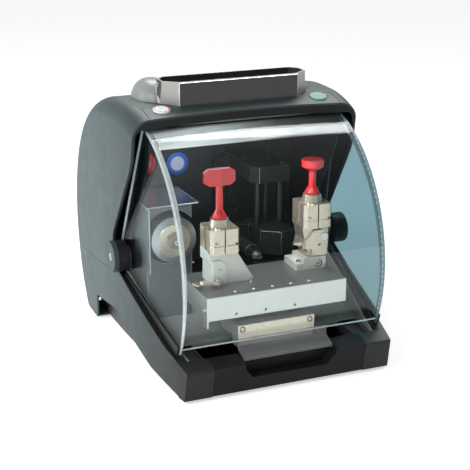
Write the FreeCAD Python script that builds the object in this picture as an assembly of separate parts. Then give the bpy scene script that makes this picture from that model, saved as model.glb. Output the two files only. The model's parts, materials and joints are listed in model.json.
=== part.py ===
import FreeCAD, Part
import math
import os

# Key duplicating machine: a domed bench-top case with a swing-up clear visor, a chip drawer,
# a disc cutter on the left, a milling head on the right and a moving table with two key clamps.
# Millimetres. X to the right, Y to the back, Z up. The origin is the middle of the footprint.

Vec = FreeCAD.Vector

# ---------------------------------------------------------------- driving dimensions
WALL = 3.5                      # moulded case wall
FIT_GAP = 0.6                   # gap between case pieces that meet but come apart
RUN_GAP = 0.08                  # radial clearance of a shaft that turns or slides in its bore
FOOT_H = 6.0
FOOT_R = 12.0

HOOD_R = 263.0                  # radius of the dome about the visor pivot
TOP_RUN = 33.0                  # flat stretch on top of the dome
HOOD_FILLET = 30.0
HALF_FRONT = 180.0              # half widths of the case: at the front bar, the pivot, the back
HALF_MID = 206.0
HALF_REAR = 202.5
PIVOT_Z = 171.0
HOOD_AHEAD = 84.0               # hood's front edge on top, ahead of the pivot
HOOD_BOW = 13.0                 # how far that edge bows back in the middle

BAR_D = 30.0                    # front bar
BAR_H = 58.0
BAR_LEAN = 10.0
DRAWER_HALF = 133.0
ARM_KNEE_H = 77.0
ARM_KNEE_BACK = 79.0
BAND_W = 14.5                   # black band on top of the side arms
BAND_T = 3.0
SIDE_GAP = 20.0                 # from the case's outside to the work compartment's side wall

HUB_R = 27.0
HUB_PROUD = 6.5                 # black hub's face outside the case
HUB_INSET = 11.0                # visor's side panel inside the case, at the hub
DISC_T = 8.5
PIVOT_SCREW_R = 4.0
VISOR_INSET = 22.0              # visor radius under the dome radius
VISOR_T = 3.0
PANEL_T = 4.0
RIM_INSET = 3.0                 # visor's front corner inside the case's front corner
VISOR_TOP_DEG = 76.0
VISOR_EDGE_Z = 79.94            # visor's lower edge when it is shut
RAIL_T = 4.0
HANDLE_HALF = 78.0

FLOOR_Z = 60.0                  # top of the work compartment's floor
FLOOR_AHEAD = 162.0             # floor's front edge ahead of the pivot
BACK_WALL_Y = 100.0
LINER_T = 2.0
LINER_INSET = 8.0               # liner radius under the visor radius

TABLE_W = 246.0
TABLE_D = 120.0
TABLE_X = 3.0
TABLE_FRONT_Y = -219.0
TABLE_TOP_Z = 153.0
TABLE_T = 10.0
APRON_H = 40.0
APRON_T = 6.0
X_RAIL_W = 14.0
X_RAIL_H = 10.0
X_RAIL_HALF = 30.0              # from the table's middle line to each X rail
CARRIAGE_TOP_Z = 103.0
CARRIAGE_X0 = -74.0
CARRIAGE_X1 = 62.0
CARRIAGE_FRONT_Y = -229.0
CARRIAGE_REAR_Y = -80.0
CARRIAGE_H = 23.0
CARRIAGE_NOSE_D = 23.0          # solid front of the carriage, clear of the Y screw's front block
Y_RAIL_W = 12.0
Y_RAIL_H = 10.0
SCREW_R = 4.0
MOTOR_W = 42.0
SMALL_MOTOR_W = 30.0

CLAMP_W = 50.0
CLAMP_D = 52.0
CLAMP_GAP = 0.6
LEFT_CLAMP_X = -73.0
LEFT_CLAMP_Y = -149.0
LEFT_JAW_Z = 221.0
RIGHT_CLAMP_X = 100.0
RIGHT_CLAMP_Y = -136.0
RIGHT_JAW_Z = 240.0
RISER_H = 21.0
STEP_DROP = 9.0                 # riser's side step below its top
JAW_H = 27.0
COLLAR_H = 13.0
COLLAR_R = 15.0
STUD_R = 5.0
STUD_H = 56.0                   # stud above the lower jaw
KNOB_FLARE_R = 12.0
KNOB_STEM_R = 6.0
KNOB_STEM_H = 55.0
WING_W = 54.0
WING_H = 28.0
WING_T = 13.0
ROUND_STEM_H = 38.0
ROUND_HEAD_R = 18.5
ROUND_HEAD_H = 21.0

WHEEL_R = 40.0
WHEEL_T = 7.0
WHEEL_X = -124.0
WHEEL_Z = 206.0
WHEEL_FRONT_Y = -72.0
FLANGE_R = 29.0
SHAFT_R = 10.0
PULLEY_R = 20.0
PULLEY_T = 14.0
BELT_T = 2.0
CUTTER_MOTOR_R = 30.0
CUTTER_MOTOR_Z = 116.0
GUARD_X0 = -166.5
GUARD_X1 = -74.0
GUARD_FRONT_Y = -53.0
GUARD_REAR_Y = 50.0
GUARD_TOP_Z = 262.0
SHEET_T = 2.0

HEAD_X0 = 38.0
HEAD_X1 = 108.0
HEAD_FRONT_Y = -30.0
HEAD_LOW_Z = 274.0
HEAD_H = 29.0
Z_BLOCK_X0 = 47.0
Z_BLOCK_H = 42.0
Z_BLOCK_Z = 150.0
Z_BLOCK_FRONT_Y = -64.0
ROD_R = 5.0
ROD_INSET = 9.0
ROD_Y = -5.0
COLUMN_T = 20.0
MILL_X = 24.0
MILL_Z = 163.0
MILL_R = 9.0
MILL_NOSE_Y = -78.0
NOSE_L = 20.0

TRAY_HALF = 107.0               # half width of the tray's front plate
TRAY_SIDE_HALF = 130.0
TRAY_RISE = 36.0                # tray's rim above the hood's top
TRAY_AHEAD = 41.0               # tray's front ahead of the pivot
TRAY_D = 59.0
TRAY_WALL = 3.0
TRAY_PLATE_T = 2.5
MEMBER_GAP = 5.0                # from the work compartment's side wall to the side member
MEMBER_T = 3.0
HEEL_D = 158.0                  # case behind the hand-hold notches
NOTCH = ((18.0, 66.0, 40.0), (-56.0, 40.0, 60.0), (-134.0, 18.0, 80.0))  # behind the pivot, height, rounding
NOTCH_END_H = 52.0

BUTTON_X = 141.0
BUTTON_R = 14.5
BUTTON_AHEAD = 52.0             # buttons ahead of the pivot
BUTTON_PROUD = 3.0
BUTTON_TRAVEL = 2.0

LAMP_HALF = 150.0

DRAWER_H = 36.0
DRAWER_D = 150.0
DRAWER_T = 2.0

BOLT_X = 300.0                  # bench bolt pattern in the base plate
BOLT_Y = 260.0
BOLT_HOLE_R = 4.25
PLATE_T = 2.5
PLATE_REAR_INSET = 20.0

VENT_ROWS = 6                   # air slots in the back of the hood
VENT_PITCH = 14.0
VENT_H = 5.0
VENT_HALF = 80.0

PANEL_HALF = 74.0               # connector panel's window in the back of the lower housing
PANEL_LOW_Z = 24.0
PANEL_HIGH_Z = 96.0
PANEL_DEEP = 54.0               # from the back of the case to the recessed plate
PANEL_SHEET = 2.0
INLET_X = -32.0
INLET_Z = 58.0
INLET_W = 27.6
INLET_H = 20.4
INLET_GAP = 0.2
FLANGE_LAP = 4.2
ROCKER_X = 15.0
ROCKER_Z = 58.0
ROCKER_W = 12.0
ROCKER_H = 16.0
ROCKER_PIN_R = 2.0

SUPPLY_X0 = -135.0              # power supply and control board
SUPPLY_W = 105.0
SUPPLY_D = 78.0
SUPPLY_H = 46.0
BOARD_X0 = -60.0
BOARD_W = 160.0
BOARD_Z0 = 110.0
BOARD_H = 140.0
BOARD_T = 2.0
POST_H = 16.0
CHIP_W = 24.0
CHIP_H = 4.0

SHELF_FRONT_Y = -18.0           # lower bearing shelf of the milling head
SHELF_Z = 112.0
SHELF_T = 14.0
ROD_SEAT = 12.0                 # how deep the head rods sit in the head
Z_SCREW_AHEAD = 4.0             # Z screw beside the head's middle
Z_SCREW_BACK = 12.0             # Z screw behind the rods
Z_BLOCK_REAR_Y = 34.0
MOTOR_L = 38.0
Y_MOTOR_Y = 26.0
Y_RAIL_INSET = 24.0             # from the carriage's edge to each floor rail
Y_RAIL_END_Y = 10.0
X_MOTOR_X = 84.0
X_RAIL_X0 = -108.0
X_RAIL_X1 = 138.0
BEARING_GAP = 0.4
BLOCK_HALF = 28.0               # cutter bearing block
BLOCK_REAR_Y = 14.0
PULLEY_Y = 22.0
MOTOR_SHAFT_R = 6.0
SPIGOT_R = 5.0
MOTOR_REAR_Y = -4.0
STOP_SCREW_R = 2.5
STOP_DX = -12.0                 # key stop's pivot from the left clamp's middle
STOP_DY = -27.0
DIAL_R = 6.0
DIAL_DX = 14.0                  # dial from the right clamp's middle, and above the table
DIAL_H = 56.0

# ---------------------------------------------------------------- worked-out places
DEPTH = 2 * HOOD_R + 1.0 + TOP_RUN
Y_FRONT = -DEPTH / 2
Y_REAR = DEPTH / 2
PIVOT_Y = Y_FRONT + HOOD_R + 1.0
DOME_REAR_Y = Y_REAR - HOOD_R
HUB_FACE = HALF_MID + HUB_PROUD
HUB_HALF = HALF_MID - HUB_INSET
RIM_HALF = HALF_FRONT - RIM_INSET
FLOOR_FRONT_Y = PIVOT_Y - FLOOR_AHEAD
TRAY_TOP_Z = PIVOT_Z + HOOD_R + TRAY_RISE
TRAY_FRONT_Y = PIVOT_Y - TRAY_AHEAD
TRAY_REAR_Y = TRAY_FRONT_Y + TRAY_D
BUTTON_Y = PIVOT_Y - BUTTON_AHEAD
FRAME_INSET = SIDE_GAP + MEMBER_GAP
NOTCH_REAR_Y = Y_REAR - HEEL_D
PLATE_REAR_Y = DOME_REAR_Y + math.sqrt(HOOD_R ** 2 - PIVOT_Z ** 2) - PLATE_REAR_INSET
PANEL_Y = Y_REAR - PANEL_DEEP
PANEL_FACE_Y = PANEL_Y + PANEL_SHEET
VISOR_R = HOOD_R - VISOR_INSET
VISOR_LOW_DEG = math.degrees(math.asin((VISOR_EDGE_Z - PIVOT_Z) / VISOR_R))
LINER_R = VISOR_R - LINER_INSET
TAPER = (HUB_HALF - RIM_HALF) / (VISOR_R - HUB_R)
HOOD_EDGE_Y = PIVOT_Y + HUB_R + 1.0
SEAM_FRONT_Z = PIVOT_Z - HUB_R - 9.0
SEAM_DROP = 27.0
BAR_REAR_Y = Y_FRONT + BAR_D
TABLE_X0 = TABLE_X - TABLE_W / 2
TABLE_X1 = TABLE_X + TABLE_W / 2
TABLE_REAR_Y = TABLE_FRONT_Y + TABLE_D
TABLE_MID_Y = TABLE_FRONT_Y + TABLE_D / 2
X_SCREW_Z = CARRIAGE_TOP_Z + 19.0
Y_SCREW_X = (CARRIAGE_X0 + CARRIAGE_X1) / 2
Y_SCREW_Z = FLOOR_Z + 11.0
HEAD_MID_X = (HEAD_X0 + HEAD_X1) / 2
Z_SCREW_X = HEAD_MID_X + Z_SCREW_AHEAD
Z_SCREW_Y = ROD_Y + Z_SCREW_BACK
Y_RAIL_XS = (CARRIAGE_X0 + Y_RAIL_INSET, CARRIAGE_X1 - Y_RAIL_INSET)
X_RAIL_YS = (TABLE_MID_Y - X_RAIL_HALF, TABLE_MID_Y + X_RAIL_HALF)
FAR = 600.0                     # larger than the machine, for cutting tools


# ---------------------------------------------------------------- small shape helpers
def at(plane, a, b, depth):
    """Point of a drawing plane: X draws (y, z), Y draws (x, z), Z draws (x, y)."""
    if plane == "X":
        return Vec(depth, a, b)
    if plane == "Y":
        return Vec(a, depth, b)
    return Vec(a, b, depth)


def normal(plane):
    return {"X": Vec(1, 0, 0), "Y": Vec(0, 1, 0), "Z": Vec(0, 0, 1)}[plane]


def prism(plane, points, low, high):
    """Polygon extruded from low to high. A point's third value rounds its corner."""
    count = len(points)
    edges = []
    ends = []
    for i, point in enumerate(points):
        here = Vec(point[0], point[1], 0)
        radius = point[2] if len(point) > 2 else 0
        before = Vec(points[i - 1][0], points[i - 1][1], 0) - here
        after = Vec(points[(i + 1) % count][0], points[(i + 1) % count][1], 0) - here
        if radius == 0:
            ends.append((here, None, here))
            continue
        before.normalize()
        after.normalize()
        half = before.getAngle(after) / 2
        reach = radius / math.tan(half)
        middle = before + after
        middle.normalize()
        centre = here + middle * (radius / math.sin(half))
        ends.append((here + before * reach, centre - middle * radius, here + after * reach))

    def put(v):
        return at(plane, v.x, v.y, low)

    for i in range(count):
        start, mid, stop = ends[i]
        if mid is not None:
            edges.append(Part.Arc(put(start), put(mid), put(stop)).toShape())
        following = ends[(i + 1) % count][0]
        if (following - stop).Length > 1e-6:
            edges.append(Part.makeLine(put(stop), put(following)))
    face = Part.Face(Part.Wire(edges))
    return face.extrude(normal(plane) * (high - low))


def box(x0, x1, y0, y1, z0, z1):
    return Part.makeBox(x1 - x0, y1 - y0, z1 - z0, Vec(x0, y0, z0))


def rod(plane, a, b, low, high, radius):
    """Cylinder whose axis is the plane's normal."""
    return Part.makeCylinder(radius, high - low, at(plane, a, b, low), normal(plane))


def tube(plane, a, b, low, high, radius, bore):
    return rod(plane, a, b, low, high, radius).cut(rod(plane, a, b, low - 1, high + 1, bore))


def hexagon(plane, a, b, low, high, across):
    """Hexagonal prism, measured across its flats."""
    reach = across / math.sqrt(3)
    corners = []
    for i in range(6):
        angle = math.radians(60 * i + 30)
        corners.append((a + reach * math.cos(angle), b + reach * math.sin(angle)))
    return prism(plane, corners, low, high)


def fuse(shapes):
    joined = shapes[0]
    for shape in shapes[1:]:
        joined = joined.fuse(shape)
    return joined.removeSplitter()


def group(shapes):
    return Part.makeCompound(shapes)


def mirrored(shape):
    return shape.mirror(Vec(0, 0, 0), Vec(1, 0, 0))


def both_sides(shape):
    return group([shape, mirrored(shape)])


def cap_screw(plane, a, b, low, high, radius, head_at_high):
    """Cap screw head with a hexagonal socket, its axis along the plane's normal."""
    head = rod(plane, a, b, low, high, radius)
    depth = (high - low) * 0.5
    if head_at_high:
        return head.cut(hexagon(plane, a, b, high - depth, high + 1, radius))
    return head.cut(hexagon(plane, a, b, low - 1, low + depth, radius))


def dome_screw(a, b, face_y, radius):
    """Round-head screw on a face that looks towards -Y."""
    ball_r = radius * 1.25
    rise = radius * 0.55
    ball = Part.makeSphere(ball_r, Vec(a, face_y - rise + ball_r, b))
    head = ball.common(rod("Y", a, b, face_y - rise, face_y, radius))
    return head.cut(hexagon("Y", a, b, face_y - rise - 1, face_y - rise * 0.4, radius))


# ---------------------------------------------------------------- case envelope
def side_circle():
    """Centre and radius, in plan, of the shallow arc that the right side wall follows."""
    x1, y1 = HALF_FRONT, Y_FRONT
    x2, y2 = HALF_MID, PIVOT_Y
    x3, y3 = HALF_REAR, Y_REAR
    d = 2 * (x1 * (y2 - y3) + x2 * (y3 - y1) + x3 * (y1 - y2))
    s1, s2, s3 = x1 * x1 + y1 * y1, x2 * x2 + y2 * y2, x3 * x3 + y3 * y3
    cx = (s1 * (y2 - y3) + s2 * (y3 - y1) + s3 * (y1 - y2)) / d
    cy = (s1 * (x3 - x2) + s2 * (x1 - x3) + s3 * (x2 - x1)) / d
    return cx, cy, math.hypot(x1 - cx, y1 - cy)


SIDE_CX, SIDE_CY, SIDE_R = side_circle()


def half_width(y, inset=0.0):
    return SIDE_CX + math.sqrt((SIDE_R - inset) ** 2 - (y - SIDE_CY) ** 2)


def side_slab(inset, y0, y1, z0, z1):
    """Everything between the two bowed side walls, moved in by inset."""
    middle = (y0 + y1) / 2
    right = [Vec(half_width(y, inset), y, z0) for y in (y0, middle, y1)]
    left = [Vec(-half_width(y, inset), y, z0) for y in (y1, middle, y0)]
    edges = [
        Part.Arc(right[0], right[1], right[2]).toShape(),
        Part.makeLine(right[2], left[0]),
        Part.Arc(left[0], left[1], left[2]).toShape(),
        Part.makeLine(left[2], right[0]),
    ]
    return Part.Face(Part.Wire(edges)).extrude(Vec(0, 0, z1 - z0))


DOME_CUT_Y = PIVOT_Y - HOOD_R * 0.36    # front of the dome block, ahead of the hood's front edge


def dome(inset_side, inset_top):
    """Rounded dome from the front of the hood to the back, down to the base."""
    radius = HOOD_R - inset_top
    reach = DOME_CUT_Y - PIVOT_Y
    front = at("X", DOME_CUT_Y, PIVOT_Z + math.sqrt(radius ** 2 - reach ** 2), -FAR / 2)
    lean = math.radians(97)
    front_mid = at("X", PIVOT_Y + radius * math.cos(lean), PIVOT_Z + radius * math.sin(lean), -FAR / 2)
    top_a = at("X", PIVOT_Y, PIVOT_Z + radius, -FAR / 2)
    top_b = at("X", DOME_REAR_Y, PIVOT_Z + radius, -FAR / 2)
    rear_mid = at("X", DOME_REAR_Y + radius, PIVOT_Z, -FAR / 2)
    low = FOOT_H - 1.0
    rear_low = at("X", DOME_REAR_Y + math.sqrt(radius ** 2 - (PIVOT_Z - low) ** 2), low, -FAR / 2)
    front_low = at("X", DOME_CUT_Y, low, -FAR / 2)
    edges = [
        Part.Arc(front, front_mid, top_a).toShape(),
        Part.makeLine(top_a, top_b),
        Part.Arc(top_b, rear_mid, rear_low).toShape(),
        Part.makeLine(rear_low, front_low),
        Part.makeLine(front_low, front),
    ]
    solid = Part.Face(Part.Wire(edges)).extrude(Vec(FAR, 0, 0))
    solid = solid.common(side_slab(inset_side, DOME_CUT_Y - 1, Y_REAR + 1, low - 1, PIVOT_Z + HOOD_R + 1))
    rounded = []
    for edge in solid.Edges:
        centre = edge.CenterOfMass
        on_side = abs(centre.x) > half_width(centre.y, inset_side) - 4.0
        on_front = all(abs(v.Y - DOME_CUT_Y) < 0.01 for v in edge.Vertexes)
        on_base = all(abs(v.Z - low) < 0.01 for v in edge.Vertexes)
        if on_side and not on_front and not on_base:
            rounded.append(edge)
    return solid.makeFillet(HOOD_FILLET - inset_top, rounded)


def arm_line(y):
    """Height of the side arms' top face."""
    knee_y = Y_FRONT + ARM_KNEE_BACK
    hub_low = PIVOT_Z - HUB_R - 1.5
    if y < knee_y:
        return BAR_H + (ARM_KNEE_H - BAR_H) * (y - Y_FRONT) / ARM_KNEE_BACK
    if y > PIVOT_Y:
        return hub_low
    return ARM_KNEE_H + (hub_low - ARM_KNEE_H) * (y - knee_y) / (PIVOT_Y - knee_y)


def arm_points(y0, y1, rise):
    """Points along the arms' top face from y0 to y1, lifted by rise."""
    knee_y = Y_FRONT + ARM_KNEE_BACK
    points = [(y0, arm_line(y0) + rise)]
    if y0 < knee_y < y1:
        points.append((knee_y, arm_line(knee_y) + rise))
    if y1 > PIVOT_Y:
        points.append((PIVOT_Y, arm_line(PIVOT_Y) + rise))
    points.append((y1, arm_line(y1) + rise))
    return points


def seam_z(y):
    """Height of the seam between the hood and the lower housing."""
    return SEAM_FRONT_Z - SEAM_DROP * (y - HOOD_EDGE_Y) / (Y_REAR - HOOD_EDGE_Y)


def hood_region(shift):
    """Space behind the hood's front edge, moved back by shift, and above the seam."""
    front = HOOD_EDGE_Y + shift
    points = [
        (front, seam_z(HOOD_EDGE_Y)),
        (front, PIVOT_Z + 30, 40),
        (PIVOT_Y - 70 + shift, PIVOT_Z + HOOD_R * 0.665, 90),
        (PIVOT_Y - HOOD_AHEAD + shift, PIVOT_Z + HOOD_R * 0.96),
        (PIVOT_Y - HOOD_AHEAD + shift, PIVOT_Z + HOOD_R + 20),
        (Y_REAR + 20, PIVOT_Z + HOOD_R + 20),
        (Y_REAR + 20, seam_z(Y_REAR + 20)),
    ]
    region = prism("X", points, -FAR / 2, FAR / 2)
    top_y = PIVOT_Y - HOOD_AHEAD + shift
    right = Vec(HALF_MID, top_y, PIVOT_Z)
    left = Vec(-HALF_MID, top_y, PIVOT_Z)
    ahead = Vec(0, -40, 0)
    edges = [
        Part.Arc(right, Vec(0, top_y + HOOD_BOW, PIVOT_Z), left).toShape(),
        Part.makeLine(left, left + ahead),
        Part.makeLine(left + ahead, right + ahead),
        Part.makeLine(right + ahead, right),
    ]
    scoop = Part.Face(Part.Wire(edges)).extrude(Vec(0, 0, HOOD_R * 2))
    above = box(-FAR / 2, FAR / 2, top_y - 60, top_y + 60, PIVOT_Z + HOOD_R * 0.8, PIVOT_Z + HOOD_R + 40)
    return region.cut(scoop.common(above))


def surface_point(y):
    """Height of the hood's outside on top, in front of the flat stretch."""
    return PIVOT_Z + math.sqrt(HOOD_R ** 2 - (y - PIVOT_Y) ** 2)


def button_axis():
    """Unit vector out of the hood at the buttons, and the point on its surface."""
    z = surface_point(BUTTON_Y)
    out = Vec(0, BUTTON_Y - PIVOT_Y, z - PIVOT_Z)
    out.normalize()
    return out, z


def button_cylinder(side, radius, low, high):
    """Cylinder along the outward direction at one button, measured from the hood surface."""
    out, z = button_axis()
    start = Vec(side * BUTTON_X, BUTTON_Y, z) + out * low
    return Part.makeCylinder(radius, high - low, start, out)


# ---------------------------------------------------------------- case
def upper_hood():
    shell = dome(0, 0).cut(dome(WALL, WALL)).common(hood_region(0))
    for side in (-1, 1):
        shell = shell.cut(button_cylinder(side, BUTTON_R + 0.4, -20, 20))
    seam_x, seam_y = HALF_MID - 35.0, TRAY_FRONT_Y + 5.0
    frame_line = box(-seam_x, seam_x, -FAR, seam_y, PIVOT_Z + 150, FAR).cut(
        box(1 - seam_x, seam_x - 1, -FAR, seam_y - 1, PIVOT_Z, FAR))
    shell = shell.cut(frame_line.common(dome(0, 0).cut(dome(1.0, 1.0))))
    for row in range(VENT_ROWS):
        z = PIVOT_Z + 20 + row * VENT_PITCH
        shell = shell.cut(box(-VENT_HALF, VENT_HALF, DOME_REAR_Y + 100, Y_REAR + 20, z, z + VENT_H))
    return shell


def lower_profile(top_drop):
    """Side view of the lower housing with the hand-hold notch under it."""
    knee_y = Y_FRONT + ARM_KNEE_BACK
    points = [(Y_FRONT + BAR_LEAN, FOOT_H), (Y_FRONT, BAR_H - BAND_T), (knee_y, arm_line(knee_y) - top_drop)]
    points.append((PIVOT_Y, arm_line(PIVOT_Y) - top_drop))
    points.append((HOOD_EDGE_Y, arm_line(HOOD_EDGE_Y) - top_drop))
    points.append((HOOD_EDGE_Y, seam_z(HOOD_EDGE_Y) - FIT_GAP))
    points.append((Y_REAR + 10, seam_z(Y_REAR + 10) - FIT_GAP))
    points.append((Y_REAR + 10, FOOT_H))
    points.append((NOTCH_REAR_Y + 2, FOOT_H))
    points.append((NOTCH_REAR_Y - 2, NOTCH_END_H, 8))
    points += [(PIVOT_Y + back, height, rounding) for back, height, rounding in NOTCH]
    return prism("X", points, -FAR / 2, FAR / 2)


def case_block(inset):
    """Outside of the lower case: bowed sides in front, dome at the back."""
    split_y = PIVOT_Y - 40
    front = side_slab(inset, Y_FRONT, split_y, FOOT_H, PIVOT_Z)
    rear = dome(inset, inset).common(box(-FAR, FAR, split_y, FAR, FOOT_H, PIVOT_Z))
    return front.fuse(rear)


def lower_housing():
    outer = fuse([case_block(0).common(lower_profile(BAND_T))])
    bar_front = prism("X", [(Y_FRONT + BAR_LEAN, FOOT_H), (Y_FRONT, BAR_H), (BAR_REAR_Y, arm_line(BAR_REAR_Y)),
                            (BAR_REAR_Y, FOOT_H)], -FAR / 2, FAR / 2)
    outer = outer.fuse(side_slab(0, Y_FRONT, BAR_REAR_Y, FOOT_H, PIVOT_Z).common(bar_front))
    hollow = case_block(WALL).common(box(-FAR, FAR, BAR_REAR_Y, FAR, 0, FAR))
    shell = outer.cut(hollow)
    gap = DRAWER_HALF + FIT_GAP
    shell = shell.cut(box(-gap, gap, Y_FRONT - 1, BAR_REAR_Y + 1, 0, BAR_H + 40))
    pocket = box(gap + WALL, HALF_FRONT - 6, Y_FRONT + BAR_LEAN + WALL, BAR_REAR_Y - WALL, 0, BAR_H - 8)
    shell = shell.cut(pocket).cut(mirrored(pocket))
    shell = shell.cut(box(-PANEL_HALF, PANEL_HALF, PANEL_Y - 20, FAR, PANEL_LOW_Z, PANEL_HIGH_Z))
    return shell.removeSplitter()


def opening_trims():
    """Black edging: one curved strip under the hood's front edge and one band on each arm."""
    ring = dome(WALL + 0.2, WALL + 0.2).cut(dome(WALL + 3, WALL + 13))
    strip = ring.common(hood_region(1.5).cut(hood_region(8)))
    strip = strip.common(box(-FAR, FAR, -FAR, FAR, SEAM_FRONT_Z + 4, FAR))
    low = arm_points(BAR_REAR_Y + 0.4, HOOD_EDGE_Y - 1, -BAND_T + 0.1)
    high = arm_points(BAR_REAR_Y + 0.4, HOOD_EDGE_Y - 1, 0)
    band_side = prism("X", low + high[::-1], 0, FAR / 2)
    ring = side_slab(0, Y_FRONT, PIVOT_Y + 60, FOOT_H, FAR).cut(
        side_slab(BAND_W, Y_FRONT - 1, PIVOT_Y + 61, 0, FAR))
    band = ring.common(band_side)
    return group(strip.Solids + [band, mirrored(band)])


def base_plate():
    """Steel plate under the machine, narrow between the hand-holds and full width behind them."""
    inset = WALL + FIT_GAP
    top = FOOT_H + PLATE_T
    plate = side_slab(FRAME_INSET, BAR_REAR_Y + 4, NOTCH_REAR_Y + 2, FOOT_H, top)
    behind = box(-FAR, FAR, NOTCH_REAR_Y + WALL, PLATE_REAR_Y, FOOT_H, top)
    plate = plate.fuse(dome(inset, inset).common(behind))
    for x in (-BOLT_X / 2, BOLT_X / 2):
        for y in (-BOLT_Y / 2, BOLT_Y / 2):
            plate = plate.cut(rod("Z", x, y, 0, top + 10, BOLT_HOLE_R))
    return plate.removeSplitter()


def rubber_feet():
    feet = []
    for x in (-BOLT_X / 2, BOLT_X / 2):
        for y in (BAR_REAR_Y + 2 * FOOT_R, PLATE_REAR_Y - FOOT_R):
            foot = Part.makeCone(FOOT_R - 2, FOOT_R, FOOT_H, Vec(x, y, 0), Vec(0, 0, 1))
            feet.append(foot)
    return group(feet)


def base_frame():
    """Side members behind the hand-holds and the guide channel that the drawer runs in."""
    y0, y1 = BAR_REAR_Y + 6, PLATE_REAR_Y - 7
    low, top = FOOT_H + PLATE_T, FLOOR_Z - LINER_T - 0.2
    ring = side_slab(FRAME_INSET, y0, y1, low, top)
    ring = ring.cut(side_slab(FRAME_INSET + MEMBER_T, y0 - 1, y1 + 1, 0, FAR))
    wall_x = DRAWER_HALF + 2
    guides = box(wall_x, wall_x + 2, BAR_REAR_Y + 2, BAR_REAR_Y + DRAWER_D + 8, low, top)
    ledge = box(wall_x, half_width(FLOOR_FRONT_Y - 50, SIDE_GAP + 3), BAR_REAR_Y + 2, FLOOR_FRONT_Y - 1,
                BAR_H - 10, BAR_H - 8)
    guides = guides.fuse(ledge)
    return group(ring.Solids + [guides, mirrored(guides)])


def work_floor():
    """Grey steel pan: the floor, a turned-down front lip and the two side walls."""
    rear = BACK_WALL_Y - 0.5
    inner = SIDE_GAP + LINER_T
    floor = side_slab(inner, FLOOR_FRONT_Y, rear, FLOOR_Z - LINER_T, FLOOR_Z)
    lip = box(-DRAWER_HALF, DRAWER_HALF, FLOOR_FRONT_Y, FLOOR_FRONT_Y + LINER_T, FLOOR_Z - 8, FLOOR_Z)
    walls = side_slab(SIDE_GAP, BAR_REAR_Y + 1, HOOD_EDGE_Y - 1, FLOOR_Z - LINER_T, FAR)
    walls = walls.cut(side_slab(inner, BAR_REAR_Y, HOOD_EDGE_Y, 0, FAR))
    top = arm_points(BAR_REAR_Y, HOOD_EDGE_Y, -BAND_T - 0.2)
    walls = walls.common(prism("X", [(BAR_REAR_Y, 0)] + top + [(HOOD_EDGE_Y, 0)], -FAR / 2, FAR / 2))
    pan = fuse([floor, lip, walls])
    return pan


def pivot_ears():
    """Fixed ears that carry the visor's pivot screws."""
    x0 = half_width(PIVOT_Y + 22, SIDE_GAP) + 0.1
    x1 = x0 + 3.5
    ear = rod("X", PIVOT_Y, PIVOT_Z, x0, x1, 15)
    leg = box(x0, x1, PIVOT_Y - 11, PIVOT_Y + 11, PIVOT_Z - 62, PIVOT_Z)
    ear = fuse([ear, leg]).cut(rod("X", PIVOT_Y, PIVOT_Z, x0 - 1, x1 + 1, PIVOT_SCREW_R + RUN_GAP))
    return both_sides(ear)


def inner_liner():
    """Black liner: back wall, arched ceiling and two side walls."""
    x = RIM_HALF - 6.0
    outer = rod("X", PIVOT_Y, PIVOT_Z, -x, x, LINER_R)
    inner = rod("X", PIVOT_Y, PIVOT_Z, -x + LINER_T, x - LINER_T, LINER_R - LINER_T)
    back = BACK_WALL_Y + LINER_T
    room = box(-FAR, FAR, -FAR, back, FLOOR_Z + 0.1, FAR)
    hollow = inner.common(box(-FAR, FAR, -FAR, BACK_WALL_Y, 0, FAR))
    shell = outer.cut(hollow).common(room)
    behind = hood_region(0).fuse(box(-FAR, FAR, HOOD_EDGE_Y, FAR, 0, PIVOT_Z))
    shell = shell.common(behind)
    window = box(-40, 20, BACK_WALL_Y - 1, back + 1, FLOOR_Z, FLOOR_Z + 40)
    return shell.cut(window).removeSplitter()


def rear_panel():
    """Recessed connector panel in the back of the lower housing."""
    half, low, high = PANEL_HALF - FIT_GAP, PANEL_LOW_Z + FIT_GAP, PANEL_HIGH_Z - FIT_GAP
    t = PANEL_SHEET
    tray = box(-half, half, PANEL_Y, FAR, low, high)
    tray = tray.cut(box(t - half, half - t, PANEL_FACE_Y, FAR, low + t, high - t))
    tray = tray.common(dome(WALL * 0.5, WALL * 0.5))
    wide, tall = INLET_W / 2 + INLET_GAP, INLET_H / 2 + INLET_GAP
    tray = tray.cut(box(INLET_X - wide, INLET_X + wide, PANEL_Y - 1, PANEL_FACE_Y + 1, INLET_Z - tall,
                        INLET_Z + tall))
    wide, tall = ROCKER_W / 2 + 1, ROCKER_H / 2 + 3
    return tray.cut(box(ROCKER_X - wide, ROCKER_X + wide, PANEL_Y - 1, PANEL_FACE_Y + 1, ROCKER_Z - tall,
                        ROCKER_Z + tall))


def power_inlet():
    """Three-pin appliance inlet, with no lead in it."""
    x, z, wide, tall = INLET_X, INLET_Z, INLET_W / 2, INLET_H / 2
    lap, face = FLANGE_LAP, PANEL_FACE_Y
    body = box(x - wide, x + wide, face - 14, face + 3, z - tall, z + tall)
    flange = box(x - wide - lap, x + wide + lap, face, face + 2.5, z - tall - lap, z + tall + lap)
    half, low, high = wide - 2.3, z - tall + 2.3, z + tall - 2.3
    socket = [(x - half, low), (x + half, low), (x + half, high - 5.5, 2), (x + half - 5.5, high, 2),
              (x - half + 5.5, high, 2), (x - half, high - 5.5, 2)]
    body = fuse([body, flange]).cut(prism("Y", socket, face - 11, face + 4))
    pins = []
    for dx, dz in ((-7, -2), (7, -2), (0, 4)):
        pins.append(box(x + dx - 1, x + dx + 1, face - 11.1, face - 1, z + dz - 2, z + dz + 2))
    return group([body] + pins)


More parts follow.
